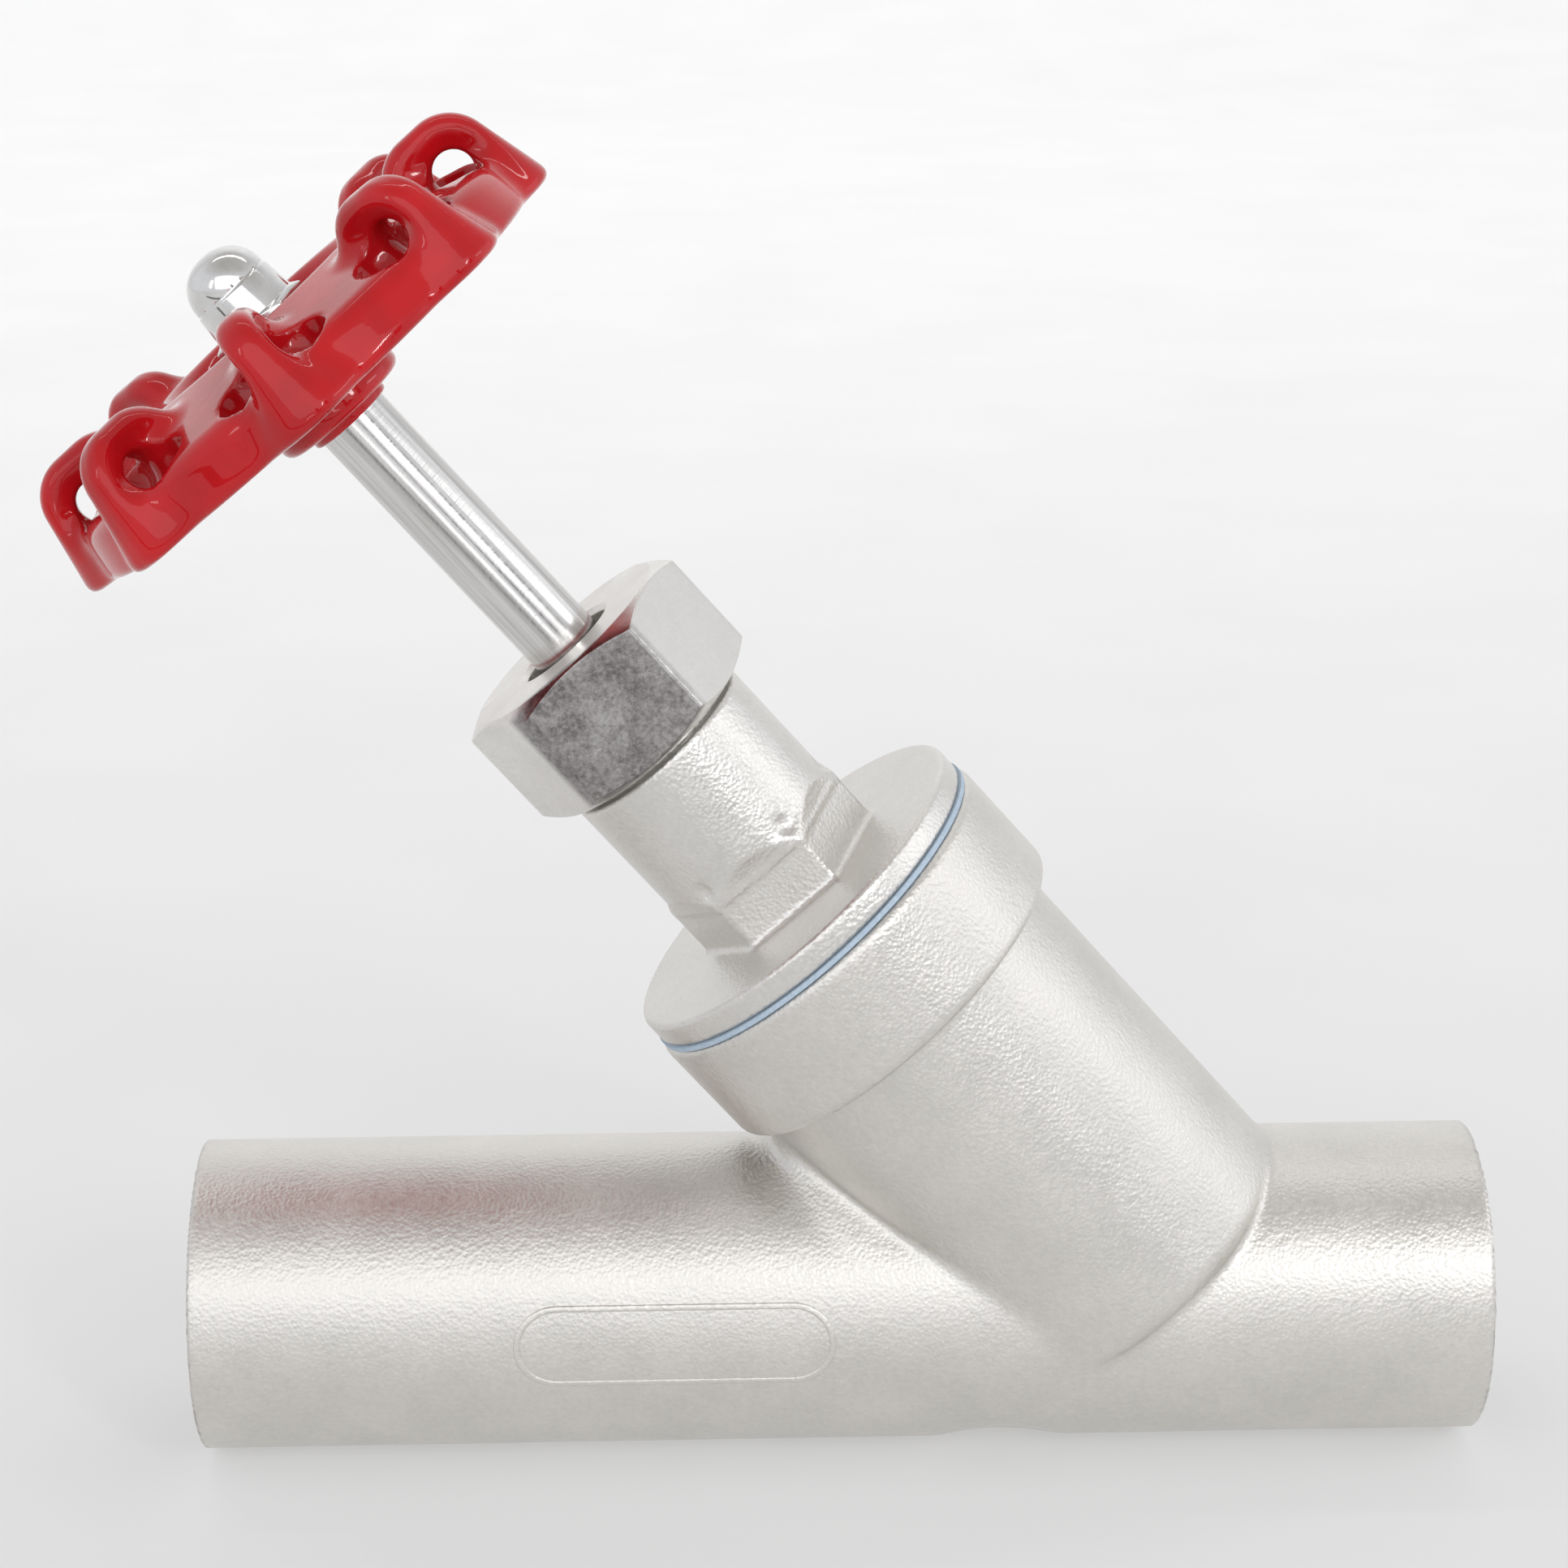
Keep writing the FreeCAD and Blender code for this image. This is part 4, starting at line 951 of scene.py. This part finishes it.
THREAD_PITCH = 0.72
THREAD_CREST, THREAD_ROOT = THREAD_RADIUS + 0.06, THREAD_RADIUS - 0.42
THREAD_CORE = 1.0
THREAD_SUNK = 0.05


def thread_outline(turns, low, pitch, crest, root):
    """Outline of a male thread, as rings of one pitch each."""
    outline = [(root - THREAD_CORE, low)]
    for i in range(turns):
        at = low + i * pitch
        outline += [(root, at + 0.1 * pitch), (crest, at + 0.45 * pitch),
                    (crest, at + 0.6 * pitch), (root, at + 0.95 * pitch)]
    outline.append((root - THREAD_CORE, low + turns * pitch))
    return soften(outline, 0.08, 2)


def make_neck_thread():
    """The turns of the neck's thread that show in the gap under the packing nut."""
    outline = thread_outline(2, NECK_TOP - THREAD_SUNK, THREAD_PITCH, THREAD_CREST, THREAD_ROOT)
    ring_piece("neck_thread", lambda angle: outline, MATERIALS["turned_steel"],
               "valve_body", (), 240)


make_neck_thread()

# ------------------------------------------------------------------ floor, lights and camera

FLOOR_LEVEL = BODY_LOW.z - 0.0002
FLOOR_NEAR, FLOOR_FAR, FLOOR_HALF = -1.5, 1.2, 3.0
BEND, BEND_STEPS, WALL_TOP = 0.8, 16, 3.0
LENS_FOCUS = 80.1
SENSOR = 36.0
CAMERA_PLACE = (0.0568, -0.3505, 0.1720)
CAMERA_YAW, CAMERA_PITCH, CAMERA_ROLL = (math.radians(a) for a in (-1.17, -17.99, 0.42))


def make_stage():
    """Seamless sheet: flat under the valve, curving up far behind it."""
    mesh = bmesh.new()
    profile = [(FLOOR_NEAR, FLOOR_LEVEL), (FLOOR_FAR, FLOOR_LEVEL)]
    for i in range(1, BEND_STEPS + 1):
        a = math.pi / 2 * i / BEND_STEPS
        profile.append((FLOOR_FAR + BEND * math.sin(a), FLOOR_LEVEL + BEND * (1 - math.cos(a))))
    profile.append((FLOOR_FAR + BEND, FLOOR_LEVEL + WALL_TOP))
    rows = []
    for y, z in profile:
        rows.append([mesh.verts.new((x, y, z)) for x in (-FLOOR_HALF, FLOOR_HALF)])
    for near, far in zip(rows, rows[1:]):
        mesh.faces.new((near[0], near[1], far[1], far[0]))
    data = bpy.data.meshes.new("backdrop")
    mesh.to_mesh(data)
    mesh.free()
    data.polygons.foreach_set("use_smooth", [True] * len(data.polygons))
    sheet = bpy.data.objects.new("backdrop", data)
    bpy.context.scene.collection.objects.link(sheet)
    n = Nodes("backdrop")
    paper = n.noise(n.place(), 0.02, 2.0, 0.5)
    n.to("Base Color", n.ramp(paper, [(0.3, (0.40, 0.40, 0.40)), (0.7, (0.42, 0.42, 0.42))]))
    n.set("Roughness", 0.7)
    n.set("Specular IOR Level", 0.2)
    n.set("Emission Color", (1.0, 1.0, 1.0, 1.0))
    n.set("Emission Strength", 0.37)
    data.materials.append(n.material)


def add_light(name, place, aim, size, power):
    """Rectangular soft light, size = (width, height) in metres, facing aim."""
    light = bpy.data.lights.new(name, "AREA")
    light.shape = "RECTANGLE"
    light.size, light.size_y = size
    light.energy = power
    lamp = bpy.data.objects.new(name, light)
    lamp.location = place
    lamp.rotation_euler = (Vector(aim) - Vector(place)).to_track_quat("-Z", "Y").to_euler()
    bpy.context.scene.collection.objects.link(lamp)


def make_lights():
    """Large soft sheets, two narrow ones for crisp streaks, and a wash on the backdrop."""
    middle = (0.06, 0.0, 0.04)
    add_light("front_sheet", (0.05, -1.1, 0.62), middle, (1.6, 0.8), 3.3)
    add_light("right_strip", (1.0, -0.22, 0.60), middle, (0.42, 0.12), 0.45)
    add_light("right_sheet", (1.05, 0.0, 0.30), middle, (0.9, 0.9), 1.0)
    add_light("left_strip", (-0.75, -0.75, 0.45), middle, (0.10, 0.35), 0.4)
    add_light("wall_wash", (0.0, 0.41, 1.44), (0.0, 2.0, 0.845), (1.6, 0.5), 26.5)
    add_light("key_window", (0.62, -0.93, 0.62), middle, (0.10, 0.28), 1.7)
    add_light("low_strip", (0.17, -1.15, -0.01), middle, (0.22, 0.10), 0.25)
    make_sky()
    make_flags()


def make_flags():
    """Dark things in front of the valve. They show only as reflections in its bright faces."""
    n = Nodes("flag")
    weave = n.noise(n.place(), 0.05, 2.0, 0.5)
    n.to("Base Color", n.ramp(weave, [(0.3, (0.05, 0.045, 0.04)), (0.7, (0.06, 0.055, 0.05))]))
    n.set("Roughness", 0.9)
    near, far, level = -0.37, -0.28, FLOOR_LEVEL + 0.001
    sheets = {
        "table_edge": [(-0.5, near, level), (0.6, near, level), (0.6, far, level),
                       (-0.5, far, level)],
        "stand": [(0.42, -0.80, -0.01), (0.56, -0.74, -0.01), (0.56, -0.74, 0.24),
                  (0.42, -0.80, 0.24)],
        "boom": [(0.47, -0.86, 0.01), (0.54, -0.82, 0.05), (0.22, -0.82, 0.40),
                 (0.15, -0.86, 0.36)],
        "pole": [(0.81, -0.66, 0.25), (0.86, -0.60, 0.29), (0.56, -0.60, 0.64),
                 (0.51, -0.66, 0.60)],
    }
    for name, corners in sheets.items():
        data = bpy.data.meshes.new(name)
        data.from_pydata(corners, [], [(0, 1, 2, 3)])
        data.materials.append(n.material)
        flag = bpy.data.objects.new(name, data)
        bpy.context.scene.collection.objects.link(flag)
        flag.visible_camera = False
        flag.visible_shadow = False
        flag.visible_diffuse = False


def make_sky():
    """A light tent: bright all round, dimmer towards straight overhead."""
    world = bpy.data.worlds.new("studio")
    world.use_nodes = True
    tree = world.node_tree
    background = tree.nodes["Background"]
    direction = tree.nodes.new("ShaderNodeTexCoord")
    parts = tree.nodes.new("ShaderNodeSeparateXYZ")
    ramp = tree.nodes.new("ShaderNodeValToRGB")
    tree.links.new(direction.outputs["Generated"], parts.inputs["Vector"])
    tree.links.new(parts.outputs["Z"], ramp.inputs["Fac"])
    tree.links.new(ramp.outputs["Color"], background.inputs["Color"])
    stops = [(0.0, (0.95, 0.96, 1.0)), (0.55, (0.95, 0.96, 1.0)),
             (0.86, (0.68, 0.665, 0.65)), (1.0, (0.62, 0.605, 0.59))]
    set_stops(ramp, stops)
    background.inputs["Strength"].default_value = 0.85
    bpy.context.scene.world = world


def make_camera():
    """Long lens, a little above the valve and looking down at it."""
    data = bpy.data.cameras.new("camera")
    data.sensor_width = SENSOR
    data.lens = LENS_FOCUS
    data.clip_start = 0.02
    data.clip_end = 20.0
    camera = bpy.data.objects.new("camera", data)
    heading = (Matrix.Rotation(CAMERA_YAW, 3, "Z") @ Matrix.Rotation(CAMERA_PITCH, 3, "X")
               @ Matrix.Rotation(CAMERA_ROLL, 3, "Y"))
    # A Blender camera looks along its own -Z, so it is first laid down to look along +Y.
    level = Matrix.Rotation(math.pi / 2, 3, "X")
    camera.matrix_world = Matrix.Translation(CAMERA_PLACE) @ (heading @ level).to_4x4()
    bpy.context.scene.collection.objects.link(camera)
    bpy.context.scene.camera = camera


make_stage()
make_lights()
make_camera()
bpy.context.scene.view_settings.view_transform = "Standard"
